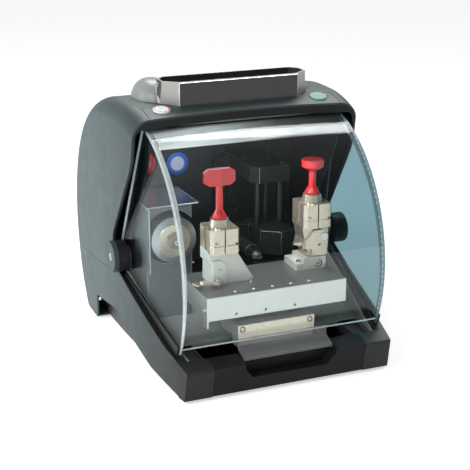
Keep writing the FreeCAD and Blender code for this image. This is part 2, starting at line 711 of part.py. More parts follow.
def rocker_switch():
    """Rocker of the mains switch with its pivot pin."""
    face, z, half = PANEL_FACE_Y, ROCKER_Z, ROCKER_H / 2
    outline = [(face - 6, z - half), (face + 0.6, z - half), (face + 2.5, z), (face + 4, z + half),
               (face - 6, z + half)]
    x0, x1 = ROCKER_X - ROCKER_W / 2, ROCKER_X + ROCKER_W / 2
    rocker = prism("X", outline, x0, x1)
    pin = rod("X", PANEL_Y - ROCKER_PIN_R - 0.2, z, x0 - 2, x1 + 2, ROCKER_PIN_R)
    return fuse([rocker, pin])


def electronics():
    """Power supply and control board behind and below the work compartment."""
    base = FOOT_H + PLATE_T
    supply_y = BACK_WALL_Y + 12
    supply = box(SUPPLY_X0, SUPPLY_X0 + SUPPLY_W, supply_y, supply_y + SUPPLY_D, base, base + SUPPLY_H)
    wall = BACK_WALL_Y + LINER_T
    board_y = wall + POST_H
    x1, z1 = BOARD_X0 + BOARD_W, BOARD_Z0 + BOARD_H
    solids = [supply, box(BOARD_X0, x1, board_y, board_y + BOARD_T, BOARD_Z0, z1)]
    for x in (BOARD_X0 + 8, x1 - 8):
        for z in (BOARD_Z0 + 8, z1 - 8):
            solids.append(rod("Y", x, z, wall, board_y, 4))
    chip_y = board_y + BOARD_T
    for column in range(3):
        for row in range(2):
            x, z = BOARD_X0 + 20 + column * 50, BOARD_Z0 + 30 + row * 55
            solids.append(box(x, x + CHIP_W, chip_y, chip_y + CHIP_H, z, z + CHIP_W))
    return group(solids)


def tray_outline(grow):
    half, side = TRAY_HALF + grow * 0.5, TRAY_SIDE_HALF + grow
    front, rear = TRAY_FRONT_Y - grow, TRAY_REAR_Y + grow
    return [(-half, front), (half, front), (side, front + 19), (side, rear - 14), (side - 12, rear),
            (12 - side, rear), (-side, rear - 14), (-side, front + 19)]


def tray_body():
    """Raised tray on the hood with a fairing that runs down to the hood's top."""
    cup = prism("Z", tray_outline(0), PIVOT_Z + 200, TRAY_TOP_Z)
    top = [Vec(x, y, TRAY_TOP_Z - 4) for x, y in tray_outline(-0.5)]
    foot = [Vec(x, y, PIVOT_Z + HOOD_R - 12) for x, y in (
        (-TRAY_HALF, TRAY_FRONT_Y + 2), (TRAY_HALF, TRAY_FRONT_Y + 2),
        (TRAY_SIDE_HALF + 4, TRAY_FRONT_Y + 20), (TRAY_SIDE_HALF + 26, TRAY_REAR_Y + 14),
        (TRAY_SIDE_HALF + 8, TRAY_REAR_Y + 46), (-TRAY_SIDE_HALF - 8, TRAY_REAR_Y + 46),
        (-TRAY_SIDE_HALF - 26, TRAY_REAR_Y + 14), (-TRAY_SIDE_HALF - 4, TRAY_FRONT_Y + 20))]
    fairing = Part.makeLoft([Part.makePolygon(foot + foot[:1]), Part.makePolygon(top + top[:1])], True, True)
    body = cup.fuse(fairing).cut(dome(0, 0))
    well = prism("Z", tray_outline(-TRAY_WALL), PIVOT_Z + HOOD_R + 2, TRAY_TOP_Z + 1)
    body = body.cut(well)
    plate_room = box(-TRAY_HALF, TRAY_HALF, TRAY_FRONT_Y - 5, TRAY_FRONT_Y, PIVOT_Z, TRAY_TOP_Z + 1)
    return body.cut(plate_room).removeSplitter()


def tray_front_panel():
    plate = box(-TRAY_HALF, TRAY_HALF, TRAY_FRONT_Y - TRAY_PLATE_T, TRAY_FRONT_Y, PIVOT_Z + 200, TRAY_TOP_Z - 1)
    return plate.cut(dome(0, 0))


def push_button(side):
    cap = button_cylinder(side, BUTTON_R, -BUTTON_TRAVEL - 6, BUTTON_PROUD)
    return cap.makeFillet(1.2, [e for e in cap.Edges if e.Closed and on_button_top(side, e)])


def on_button_top(side, edge):
    out, z = button_axis()
    rise = (edge.CenterOfMass - Vec(side * BUTTON_X, BUTTON_Y, z)).dot(out)
    return abs(rise - BUTTON_PROUD) < 0.01


def lamp_housing():
    """Lamp bar that hangs under the liner's ceiling."""
    y, z = PIVOT_Y, PIVOT_Z + LINER_R - LINER_T
    points = [(y - 52, z - 12), (y - 20, z - 4), (y - 16, z - 10), (y - 16, z - 30), (y - 60, z - 34),
              (y - 62, z - 30)]
    body = prism("X", points, -LAMP_HALF, LAMP_HALF)
    hanger = box(-LAMP_HALF + 10, LAMP_HALF - 10, y - 18, y - 16, z - 20, z + 1)
    hanger = hanger.common(rod("X", PIVOT_Y, PIVOT_Z, -FAR, FAR, LINER_R - LINER_T))
    return fuse([body, hanger])


def lamp_lens():
    y, z = PIVOT_Y, PIVOT_Z + LINER_R - LINER_T
    points = [(y - 55, z - 12.5), (y - 52.3, z - 12.1), (y - 62.2, z - 30), (y - 60.2, z - 34.1),
              (y - 62, z - 36.5), (y - 66, z - 30)]
    return prism("X", points, -LAMP_HALF, LAMP_HALF)


# ---------------------------------------------------------------- visor
def outer_x(r):
    """Half distance over the slightly coned side panels at a radius from the pivot."""
    return RIM_HALF + (VISOR_R - r) * TAPER


def turned(points, start_deg, sweep_deg):
    """Outline in (X, radius) turned about the visor's pivot axis. 0 degrees looks forward."""
    tilt = math.radians(start_deg)
    places = [Vec(x, PIVOT_Y - r * math.cos(tilt), PIVOT_Z + r * math.sin(tilt)) for x, r in points]
    face = Part.Face(Part.makePolygon(places + places[:1]))
    return face.revolve(Vec(0, PIVOT_Y, PIVOT_Z), Vec(-1, 0, 0), sweep_deg)


def coned_plate(gap0, gap1):
    """Right-hand coned disc between two offsets from the panel's outer face."""
    r0 = PIVOT_SCREW_R + 0.02
    points = [(outer_x(r0) + gap0, r0), (outer_x(VISOR_R) + gap0, VISOR_R), (outer_x(VISOR_R) + gap1, VISOR_R),
              (outer_x(r0) + gap1, r0)]
    return turned(points, 0, 360)


def polar(radius, degrees):
    tilt = math.radians(degrees)
    return (PIVOT_Y - radius * math.cos(tilt), PIVOT_Z + radius * math.sin(tilt))


def visor_sides():
    far = VISOR_R * 1.6
    rise = 3.0
    low = arm_points(PIVOT_Y - far, PIVOT_Y, rise)
    outline = low + [polar(HUB_R, 130), polar(VISOR_R + 4, VISOR_TOP_DEG), polar(far, 45)]
    shape = prism("X", outline, 0, FAR / 2).fuse(rod("X", PIVOT_Y, PIVOT_Z, 0, FAR / 2, HUB_R - 0.5))
    return both_sides(coned_plate(-PANEL_T, 0).common(shape).removeSplitter())


def visor_front():
    r0 = VISOR_R - VISOR_T
    inner = [(outer_x(r) - PANEL_T, r) for r in (r0, VISOR_R)]
    points = [(-inner[0][0], r0), (inner[0][0], r0), (inner[1][0], VISOR_R), (-inner[1][0], VISOR_R)]
    return turned(points, VISOR_LOW_DEG, VISOR_TOP_DEG - VISOR_LOW_DEG)


def visor_rails():
    """Black stiffening rails along the lower edges of the side panels."""
    y0, y1 = PIVOT_Y - VISOR_R, PIVOT_Y - 14
    low = arm_points(y0, y1, 2.0)
    front = polar(VISOR_R, VISOR_LOW_DEG + 1.5)
    top = [(y1, arm_line(y1) + 6), (front[0] - 6, front[1])]
    shape = prism("X", low + top, 0, FAR / 2)
    return both_sides(coned_plate(0, RAIL_T).common(shape))


def visor_handle():
    """Clear L-shaped pull under the visor's front edge, with ribs along its lip."""
    edge = polar(VISOR_R, VISOR_LOW_DEG)
    y, z = edge[0] - 1.2, edge[1]
    plate = [(y - 0.2, z + 6), (y + 2.6 - 5.5, z + 6), (y - 5.5, z - 10), (y - 27, z - 17), (y - 27, z - 22),
             (y - 3, z - 15), (y + 1.2, z - 14), (y + 1.2, z - 1)]
    body = prism("X", plate, -HANDLE_HALF, HANDLE_HALF)
    body = body.cut(rod("X", PIVOT_Y, PIVOT_Z, -FAR, FAR, VISOR_R + 0.01))
    ribs = []
    count = 25
    for i in range(count):
        x = -HANDLE_HALF + 4 + i * (2 * HANDLE_HALF - 8) / (count - 1)
        ribs.append(rod("Y", x, z - 17.2, y - 27, y - 15, 1.6))
    return fuse([body] + ribs)


def pivot_hubs():
    points = [(outer_x(PIVOT_SCREW_R), PIVOT_SCREW_R + 0.02), (outer_x(HUB_R), HUB_R), (HUB_FACE, HUB_R),
              (HUB_FACE, PIVOT_SCREW_R + 0.02)]
    return both_sides(turned(points, 0, 360))


def pivot_discs():
    disc = rod("X", PIVOT_Y, PIVOT_Z, HUB_FACE, HUB_FACE + DISC_T, HUB_R)
    disc = disc.makeChamfer(1.0, [e for e in disc.Edges if e.Closed and e.CenterOfMass.x > HUB_FACE + 1])
    disc = disc.cut(rod("X", PIVOT_Y, PIVOT_Z, 0, FAR, PIVOT_SCREW_R + 0.02))
    disc = disc.cut(rod("X", PIVOT_Y, PIVOT_Z, HUB_FACE + DISC_T - 4, FAR, 7.2))
    return both_sides(disc)


def pivot_screws():
    inner_x = half_width(PIVOT_Y, SIDE_GAP) + 0.6
    top = HUB_FACE + DISC_T - 0.6
    head = cap_screw("X", PIVOT_Y, PIVOT_Z, top - 3.4, top, 7.0, True)
    shank = rod("X", PIVOT_Y, PIVOT_Z, inner_x, top - 3.4, PIVOT_SCREW_R)
    return both_sides(fuse([head, shank]))


# ---------------------------------------------------------------- chip drawer
def drawer_front():
    lip = [(Y_FRONT + BAR_LEAN, FOOT_H + 1), (Y_FRONT, BAR_H), (BAR_REAR_Y, arm_line(BAR_REAR_Y)),
           (BAR_REAR_Y, FOOT_H + PLATE_T + 1)]
    front = prism("X", lip, -DRAWER_HALF, DRAWER_HALF)
    low = BAR_H * 0.53
    recess = [(-66, low, 4), (66, low, 4), (80, low + 18, 4), (82, BAR_H + 40), (-82, BAR_H + 40),
              (-80, low + 18, 4)]
    wall_y = BAR_REAR_Y - 4
    front = front.cut(prism("Y", recess, Y_FRONT - 1, wall_y))
    return front.cut(box(-82, 82, wall_y - 1, BAR_REAR_Y + 1, BAR_H - 8, BAR_H + 40))


def drawer_tray():
    x, y0, y1 = DRAWER_HALF - 1, BAR_REAR_Y, BAR_REAR_Y + DRAWER_D
    z0 = FOOT_H + PLATE_T + 1
    tray = box(-x, x, y0, y1, z0, z0 + DRAWER_H)
    return tray.cut(box(-x + DRAWER_T, x - DRAWER_T, y0 + DRAWER_T, y1 - DRAWER_T, z0 + DRAWER_T, FAR))


# ---------------------------------------------------------------- disc cutter
def cutter_guard():
    """Grey sheet-metal box over the cutter's bearing and motor."""
    t = SHEET_T
    low = FLOOR_Z + 0.2
    front_x1 = WHEEL_X + WHEEL_R - 2
    top = box(GUARD_X0, GUARD_X1, GUARD_FRONT_Y - 2, GUARD_REAR_Y, GUARD_TOP_Z - t, GUARD_TOP_Z)
    side = box(GUARD_X0, GUARD_X0 + t, GUARD_FRONT_Y, GUARD_REAR_Y, low, GUARD_TOP_Z - t)
    face = box(GUARD_X0, front_x1, GUARD_FRONT_Y, GUARD_FRONT_Y + t, low, GUARD_TOP_Z - t)
    face = face.cut(rod("Y", WHEEL_X, WHEEL_Z, -FAR, FAR, WHEEL_R + 8).common(
        box(-FAR, FAR, -FAR, FAR, WHEEL_Z - WHEEL_R - 8, GUARD_TOP_Z - 6)))
    ear = box(GUARD_X0, GUARD_X0 + t, GUARD_FRONT_Y - 14, GUARD_FRONT_Y, WHEEL_Z - 58, GUARD_TOP_Z - t)
    return fuse([top, side, face, ear])


def cutter_bearing_block():
    half = BLOCK_HALF
    y0, y1 = GUARD_FRONT_Y + 14, BLOCK_REAR_Y
    block = box(WHEEL_X - half, WHEEL_X + half, y0, y1, WHEEL_Z - half, WHEEL_Z + half)
    leg = box(WHEEL_X - half, WHEEL_X + half, y1 - 14, y1, FLOOR_Z, WHEEL_Z - half)
    nose = rod("Y", WHEEL_X, WHEEL_Z, y0 - 12, y0, SHAFT_R + 8)
    body = fuse([block, leg, nose])
    body = body.cut(rod("Y", WHEEL_X, WHEEL_Z, -FAR, FAR, SHAFT_R + RUN_GAP))
    return body.cut(rod("Y", WHEEL_X, CUTTER_MOTOR_Z, -FAR, FAR, MOTOR_SHAFT_R + 3))


def cutter_shaft():
    """Cutter arbor with its drive pulley as a second solid."""
    wheel_back = WHEEL_FRONT_Y + WHEEL_T
    end = PULLEY_Y + PULLEY_T + 4
    shaft = rod("Y", WHEEL_X, WHEEL_Z, wheel_back, end, SHAFT_R)
    spigot = rod("Y", WHEEL_X, WHEEL_Z, WHEEL_FRONT_Y - 17, wheel_back, SPIGOT_R)
    pulley = tube("Y", WHEEL_X, WHEEL_Z, PULLEY_Y, PULLEY_Y + PULLEY_T, PULLEY_R, SHAFT_R)
    return group([fuse([shaft, spigot]), pulley])


def cutter_wheel():
    """Slotting disc with fine teeth round its rim."""
    disc = tube("Y", WHEEL_X, WHEEL_Z, WHEEL_FRONT_Y, WHEEL_FRONT_Y + WHEEL_T, WHEEL_R, SPIGOT_R)
    bevel = Part.makeCone(FLANGE_R + 1, WHEEL_R + 1, 2.2, Vec(WHEEL_X, WHEEL_FRONT_Y, WHEEL_Z), Vec(0, 1, 0))
    ring = tube("Y", WHEEL_X, WHEEL_Z, WHEEL_FRONT_Y - 1, WHEEL_FRONT_Y + 2.2, WHEEL_R + 2, FLANGE_R + 1)
    disc = disc.cut(ring.cut(bevel))
    teeth = 48
    cuts = []
    for i in range(teeth):
        angle = 2 * math.pi * i / teeth
        x = WHEEL_X + (WHEEL_R + 0.4) * math.cos(angle)
        z = WHEEL_Z + (WHEEL_R + 0.4) * math.sin(angle)
        cuts.append(rod("Y", x, z, WHEEL_FRONT_Y - 1, WHEEL_FRONT_Y + WHEEL_T + 1, 1.3))
    return disc.cut(group(cuts))


def cutter_flange():
    """Clamping washer and hexagonal nut on the end of the arbor."""
    y = WHEEL_FRONT_Y
    washer = tube("Y", WHEEL_X, WHEEL_Z, y - 3, y, FLANGE_R, SPIGOT_R)
    washer = washer.makeChamfer(1.0, [e for e in washer.Edges if e.Closed and e.CenterOfMass.y < y - 2.9
                                      and e.BoundBox.XLength > FLANGE_R])
    nut = hexagon("Y", WHEEL_X, WHEEL_Z, y - 12, y - 3, 24).cut(rod("Y", WHEEL_X, WHEEL_Z, -FAR, FAR, SPIGOT_R))
    return group([washer, nut])


def cutter_motor():
    y0, y1 = GUARD_FRONT_Y + 10, MOTOR_REAR_Y
    body = rod("Y", WHEEL_X, CUTTER_MOTOR_Z, y0, y1, CUTTER_MOTOR_R)
    cap = rod("Y", WHEEL_X, CUTTER_MOTOR_Z, y0 - 5, y0, CUTTER_MOTOR_R - 6)
    foot = box(WHEEL_X - 22, WHEEL_X + 22, y0 + 4, y1 - 4, FLOOR_Z, CUTTER_MOTOR_Z - CUTTER_MOTOR_R + 6)
    return fuse([body, cap, foot])


def motor_pulley():
    """Motor shaft with the small pulley that drives the arbor."""
    end = PULLEY_Y + PULLEY_T
    shaft = rod("Y", WHEEL_X, CUTTER_MOTOR_Z, MOTOR_REAR_Y + 0.3, end + 2, MOTOR_SHAFT_R)
    pulley = rod("Y", WHEEL_X, CUTTER_MOTOR_Z, PULLEY_Y, end, PULLEY_R)
    return fuse([shaft, pulley])


def drive_belt():
    """Flat belt round both pulleys, a hair clear of them."""
    def loop(radius, y0, y1):
        upper = rod("Y", WHEEL_X, WHEEL_Z, y0, y1, radius)
        lower = rod("Y", WHEEL_X, CUTTER_MOTOR_Z, y0, y1, radius)
        middle = box(WHEEL_X - radius, WHEEL_X + radius, y0, y1, CUTTER_MOTOR_Z, WHEEL_Z)
        return upper.fuse(lower).fuse(middle).removeSplitter()
    inner = PULLEY_R + 0.3
    y0, y1 = PULLEY_Y + 2, PULLEY_Y + PULLEY_T - 2
    return loop(inner + BELT_T, y0, y1).cut(loop(inner, y0 - 1, y1 + 1))


# ---------------------------------------------------------------- milling head
def rod_xs():
    return (Z_BLOCK_X0 + ROD_INSET, HEAD_X1 - ROD_INSET)


def z_column():
    """Black head housing on its column, with the lower bearing shelf."""
    front = HEAD_FRONT_Y
    cap = prism("Z", [(HEAD_X0, BACK_WALL_Y - COLUMN_T), (HEAD_X0, front + 14), (HEAD_X0 + 12, front),
                      (HEAD_X1, front), (HEAD_X1, BACK_WALL_Y - COLUMN_T)], HEAD_LOW_Z, HEAD_LOW_Z + HEAD_H)
    back, face = BACK_WALL_Y - 0.1, BACK_WALL_Y - COLUMN_T
    top = HEAD_LOW_Z + HEAD_H
    column = box(HEAD_X0 - 4, HEAD_X1 + 4, face - 0.1, back, FLOOR_Z, top)
    plate = box(HEAD_X0 - 26, HEAD_X0 - 4, BACK_WALL_Y - 12, back, FLOOR_Z, top - 8)
    shelf = box(Z_BLOCK_X0, HEAD_X1, SHELF_FRONT_Y, face, SHELF_Z, SHELF_Z + SHELF_T)
    body = fuse([cap, column, plate, shelf])
    for x in rod_xs():
        body = body.cut(rod("Z", x, ROD_Y, SHELF_Z + 4, HEAD_LOW_Z + ROD_SEAT, ROD_R))
    body = body.cut(rod("Z", Z_SCREW_X, Z_SCREW_Y, SHELF_Z - 1, HEAD_LOW_Z + ROD_SEAT + 2, SCREW_R + RUN_GAP))
    return body.cut(rod("Y", HEAD_X0 + 8, MILL_Z + 37, face - 1, face + 6, 5))


def guide_rails():
    """Two vertical head rods and two floor rails for the front-to-back axis."""
    parts = [rod("Z", x, ROD_Y, SHELF_Z + 4, HEAD_LOW_Z + ROD_SEAT, ROD_R) for x in rod_xs()]
    half, top = Y_RAIL_W / 2, FLOOR_Z + Y_RAIL_H
    for x in Y_RAIL_XS:
        parts.append(box(x - half, x + half, FLOOR_FRONT_Y + 10, Y_RAIL_END_Y, FLOOR_Z, top))
    return group(parts)


def axis_motors():
    """Stepper motors of the up-and-down and front-to-back axes, with their bearing blocks."""
    half = MOTOR_W / 2
    zx, zy = Z_SCREW_X, Z_SCREW_Y
    z_motor = box(zx - half, zx + half, zy - half, zy + half, SHELF_Z - MOTOR_W, SHELF_Z)
    z_motor = z_motor.cut(rod("Z", zx, zy, SHELF_Z - 12, SHELF_Z + 1, SCREW_R + 1))
    y_motor = box(Y_SCREW_X - half, Y_SCREW_X + half, Y_MOTOR_Y, Y_MOTOR_Y + MOTOR_L, FLOOR_Z,
                  FLOOR_Z + MOTOR_W)
    y_motor = y_motor.cut(rod("Y", Y_SCREW_X, Y_SCREW_Z, Y_MOTOR_Y - 1, Y_MOTOR_Y + 14, SCREW_R + 1))
    block = box(Y_SCREW_X - 9, Y_SCREW_X + 9, FLOOR_FRONT_Y + 3, FLOOR_FRONT_Y + 12, FLOOR_Z, FLOOR_Z + 18)
    block = block.cut(rod("Y", Y_SCREW_X, Y_SCREW_Z, -FAR, FAR, SCREW_R + RUN_GAP))
    return group([z_motor, y_motor, block])


def z_screw():
    """Vertical lead screw, drawn at the outside diameter of its thread."""
    return rod("Z", Z_SCREW_X, Z_SCREW_Y, SHELF_Z - 9, HEAD_LOW_Z + ROD_SEAT, SCREW_R)


def z_carriage():
    """Black block that slides on the head rods, with the spindle sleeve beside it."""
    z0, z1 = Z_BLOCK_Z, Z_BLOCK_Z + Z_BLOCK_H
    front = Z_BLOCK_FRONT_Y
    rear, sleeve_y = Z_BLOCK_REAR_Y, MILL_NOSE_Y + NOSE_L
    block = prism("Z", [(Z_BLOCK_X0, rear), (Z_BLOCK_X0, front + 22), (Z_BLOCK_X0 + 31, front),
                        (HEAD_X1 - 2, front + 6), (HEAD_X1 - 2, rear)], z0, z1)
    arm = box(MILL_X - 14, Z_BLOCK_X0, rear - 22, rear, z0, z1 - 4)
    sleeve = rod("Y", MILL_X, MILL_Z, sleeve_y, rear, MILL_R + 3)
    body = fuse([block, arm, sleeve])
    for x in rod_xs():
        body = body.cut(rod("Z", x, ROD_Y, 0, FAR, ROD_R + RUN_GAP))
    body = body.cut(rod("Z", Z_SCREW_X, Z_SCREW_Y, 0, FAR, SCREW_R + RUN_GAP))
    return body.cut(rod("Y", MILL_X, MILL_Z, -FAR, rear - 4, MILL_R - 2 + RUN_GAP))


def end_mill():
    """Milling spindle nose, collet nut and end mill."""
    nose_end = MILL_NOSE_Y + NOSE_L - 0.3
    shaft = rod("Y", MILL_X, MILL_Z, nose_end, Z_BLOCK_REAR_Y - 5, MILL_R - 2)
    nose = rod("Y", MILL_X, MILL_Z, MILL_NOSE_Y, nose_end, MILL_R)
    nut = Part.makeCone(MILL_R - 3, MILL_R, 6, Vec(MILL_X, MILL_NOSE_Y - 6, MILL_Z), Vec(0, 1, 0))
    bit = rod("Y", MILL_X, MILL_Z, MILL_NOSE_Y - 18, MILL_NOSE_Y - 6, 3)
    return fuse([shaft, nose, nut, bit])


# ---------------------------------------------------------------- front-to-back axis
def bearing_block(axis, along, across, z0, z1, rail_w, rail_top, length, width):
    """Bearing block that straddles a rail. axis is the way that the rail runs."""
    gap = BEARING_GAP
    if axis == "Y":
        block = box(across - width / 2, across + width / 2, along - length / 2, along + length / 2, z0, z1)
        slot = box(across - rail_w / 2 - gap, across + rail_w / 2 + gap, -FAR, FAR, 0, rail_top + gap)
    else:
        block = box(along - length / 2, along + length / 2, across - width / 2, across + width / 2, z0, z1)
        slot = box(-FAR, FAR, across - rail_w / 2 - gap, across + rail_w / 2 + gap, 0, rail_top + gap)
    return block.cut(slot)


def y_carriage():
    """Aluminium carriage box that moves front to back on the floor rails."""
    low = CARRIAGE_TOP_Z - CARRIAGE_H
    front, rear = CARRIAGE_FRONT_Y, CARRIAGE_FRONT_Y + CARRIAGE_NOSE_D
    deck = box(CARRIAGE_X0, CARRIAGE_X1, rear, CARRIAGE_REAR_Y, low, CARRIAGE_TOP_Z)
    nose = prism("X", [(rear, CARRIAGE_TOP_Z), (front, CARRIAGE_TOP_Z), (front, low), (front + 6, FLOOR_Z + 4),
                       (rear, FLOOR_Z + 4)], CARRIAGE_X0, CARRIAGE_X1)
    parts = [deck, nose]
    for x in Y_RAIL_XS:
        for y in (CARRIAGE_REAR_Y - 20, CARRIAGE_REAR_Y - 66):
            parts.append(bearing_block("Y", y, x, FLOOR_Z + 2, low, Y_RAIL_W, FLOOR_Z + Y_RAIL_H, 28, 26))
    nut = box(Y_SCREW_X - 10, Y_SCREW_X + 10, CARRIAGE_REAR_Y - 32, CARRIAGE_REAR_Y - 14, FLOOR_Z + 3, low)
    parts.append(nut)
    body = fuse(parts)
    return body.cut(rod("Y", Y_SCREW_X, Y_SCREW_Z, CARRIAGE_REAR_Y - 60, FAR, SCREW_R + RUN_GAP))


def y_front_cover():
    """Bright cover plate on the carriage's front, with its two round-head screws."""
    low = CARRIAGE_TOP_Z - CARRIAGE_H
    plate = box(CARRIAGE_X0, CARRIAGE_X1, CARRIAGE_FRONT_Y - 2, CARRIAGE_FRONT_Y, low, CARRIAGE_TOP_Z)
    z = CARRIAGE_TOP_Z - 7
    heads = [dome_screw(x, z, CARRIAGE_FRONT_Y - 2, 4.2) for x in (CARRIAGE_X0 + 8, CARRIAGE_X1 - 8)]
    return group([plate] + heads)


def y_screw():
    """Front-to-back lead screw, drawn at the outside diameter of its thread."""
    return rod("Y", Y_SCREW_X, Y_SCREW_Z, FLOOR_FRONT_Y + 4, Y_MOTOR_Y + 12, SCREW_R)


# ---------------------------------------------------------------- side-to-side axis
def x_rails():
    half, low = X_RAIL_W / 2, CARRIAGE_TOP_Z
    return group([box(X_RAIL_X0, X_RAIL_X1, y - half, y + half, low, low + X_RAIL_H) for y in X_RAIL_YS])


def x_motor():
    """Small stepper of the side-to-side axis between the X rails, and the far bearing block."""
    half, x = SMALL_MOTOR_W / 2, X_MOTOR_X
    y0, y1 = TABLE_MID_Y - half, TABLE_MID_Y + half
    low, high = CARRIAGE_TOP_Z, X_SCREW_Z + half
    body = box(x, x + MOTOR_L, y0, y1, X_SCREW_Z - half, high)
    bridge = box(CARRIAGE_X1 - 12, x, y0, y1, low, low + 3)
    plate = box(x - 3, x, y0, y1, low, high)
    motor = fuse([body, bridge, plate]).cut(rod("X", TABLE_MID_Y, X_SCREW_Z, x - 4, x + 8, SCREW_R + 1))
    block = box(CARRIAGE_X0, CARRIAGE_X0 + 8, TABLE_MID_Y - 10, TABLE_MID_Y + 10, low, X_SCREW_Z + 9)
    block = block.cut(rod("X", TABLE_MID_Y, X_SCREW_Z, -FAR, 0, SCREW_R + RUN_GAP))
    return group([motor, block])


def x_screw():
    """Side-to-side lead screw, drawn at the outside diameter of its thread."""
    return rod("X", TABLE_MID_Y, X_SCREW_Z, CARRIAGE_X0 + 1, X_MOTOR_X + 6, SCREW_R)


def x_table():
    """Machined table: top, front apron, left end plate and drilled holes."""
    z0, z1 = TABLE_TOP_Z - TABLE_T, TABLE_TOP_Z
    top = box(TABLE_X0, TABLE_X1, TABLE_FRONT_Y, TABLE_REAR_Y, z0, z1)
    apron = box(TABLE_X0, TABLE_X1, TABLE_FRONT_Y, TABLE_FRONT_Y + APRON_T, TABLE_TOP_Z - APRON_H, z0)
    body = fuse([top, apron])
    for i in range(5):
        x = TABLE_X0 + 58 + i * 33
        body = body.cut(rod("Z", x, TABLE_FRONT_Y + 13, z1 - 8, z1 + 1, 2.6))
    for x in (TABLE_X0 + 48, TABLE_X0 + 100, TABLE_X0 + 152):
        body = body.cut(rod("Y", x, TABLE_TOP_Z - APRON_H + 7, -FAR, TABLE_FRONT_Y + 4, 2.4))
    lip = [e for e in body.Edges if e.BoundBox.XLength > TABLE_W - 1 and e.CenterOfMass.z > z1 - 0.1
           and e.CenterOfMass.y < TABLE_FRONT_Y + 0.1]
    return group([body.makeChamfer(0.8, lip)] + table_end_plate())


def table_bearings():
    """Four bearing blocks on the X rails and the screw nut under the table."""
    parts = []
    low, high = CARRIAGE_TOP_Z + 2, TABLE_TOP_Z - TABLE_T
    for y in X_RAIL_YS:
        for x in (-45, 45):
            parts.append(bearing_block("X", x, y, low, high, X_RAIL_W, CARRIAGE_TOP_Z + X_RAIL_H, 30, 26))
    nut = box(-12, 12, TABLE_MID_Y - 11, TABLE_MID_Y + 11, low + 5, high)
    parts.append(nut.cut(rod("X", TABLE_MID_Y, X_SCREW_Z, -FAR, FAR, SCREW_R + RUN_GAP)))
    return group(parts)


def table_end_plate():
    """Left end plate with its screw."""
    x1 = TABLE_X0
    plate = box(x1 - 2.5, x1, TABLE_FRONT_Y, TABLE_REAR_Y, CARRIAGE_TOP_Z + X_RAIL_H + 3, TABLE_TOP_Z)
    tab = box(x1 - 2.5, x1, TABLE_FRONT_Y, TABLE_FRONT_Y + 16, TABLE_TOP_Z - 52, TABLE_TOP_Z)
    screw = cap_screw("X", TABLE_FRONT_Y + 10, TABLE_TOP_Z - 24, x1 - 6, x1 - 2.5, 4, False)
    return [fuse([plate, tab]), screw]


# ---------------------------------------------------------------- key clamps
def clamp_head(x, y, z0, z1, slot):
    """Square clamp body with a front slot and relieved corners."""
    half, deep = CLAMP_W / 2, CLAMP_D / 2
    block = prism("Z", [(x - half, y - deep + 5), (x - half + 5, y - deep), (x + half - 3, y - deep),
                        (x + half, y - deep + 3), (x + half, y + deep - 3), (x + half - 3, y + deep),
                        (x - half + 3, y + deep), (x - half, y + deep - 3)], z0, z1)
    block = block.cut(box(x - 1.2, x + 1.2, y - deep - 1, y - deep + slot, z0 - 1, z1 + 1))
    relief = box(x - half - 1, x - half + 5, y - 6, y + 6, z0 - 1, z1 + 1)
    return block.cut(relief)


def left_clamp_base():
    """Gusseted foot, lower jaw and stud of the left clamp."""
    half = CLAMP_W / 2
    x, z = LEFT_CLAMP_X, TABLE_TOP_Z
    seat = LEFT_JAW_Z - 10
    foot = prism("Y", [(x - half + 4, z), (x + half + 31, z), (x + half, seat - 6), (x + half, seat),
                       (x - half, seat), (x - half, seat - 20), (x - half + 4, seat - 24)],
                 LEFT_CLAMP_Y - 16, LEFT_CLAMP_Y + 24)
    cheek = prism("Y", [(x - 19, z), (x + 4, z), (x + 4, z + 34), (x - 6, z + 42), (x - 19, z + 42)],
                  LEFT_CLAMP_Y - 19, LEFT_CLAMP_Y - 15.9)
    cheek = cheek.cut(rod("Y", x - 6, z + 26, -FAR, FAR, 2.2))
    head = clamp_head(x, LEFT_CLAMP_Y, seat - 4, LEFT_JAW_Z, 7)
    return fuse([foot, cheek, head, rod("Z", x, LEFT_CLAMP_Y, LEFT_JAW_Z - 2, LEFT_JAW_Z + STUD_H, STUD_R)])


def clamp_jaw(x, y, z):
    """Upper jaw that the knob draws down, with its round collar."""
    z0 = z + CLAMP_GAP
    top = z0 + JAW_H
    jaw = clamp_head(x, y, z0, top, 9)
    front = y - CLAMP_D / 2
    jaw = jaw.cut(box(x + CLAMP_W / 2 - 7, x + CLAMP_W, front - 1, front + 6, z0 - 1, z0 + 4))
    neck = Part.makeCone(COLLAR_R + 2, COLLAR_R, COLLAR_H, Vec(x, y, top), Vec(0, 0, 1))
    jaw = fuse([jaw, neck])
    return jaw.cut(rod("Z", x, y, 0, FAR, STUD_R + RUN_GAP))


def knob_foot(x, y, z, stem_h):
    """Flared foot and stem that both clamp knobs have, as one solid."""
    ring = rod("Z", x, y, z, z + 4, KNOB_FLARE_R)
    flare = Part.makeCone(KNOB_FLARE_R, KNOB_STEM_R, 11, Vec(x, y, z + 4), Vec(0, 0, 1))
    stem = rod("Z", x, y, z, z + stem_h + 2, KNOB_STEM_R)
    return fuse([ring, flare, stem])


def knob_seat(jaw_z):
    return jaw_z + CLAMP_GAP + JAW_H + COLLAR_H + 0.3


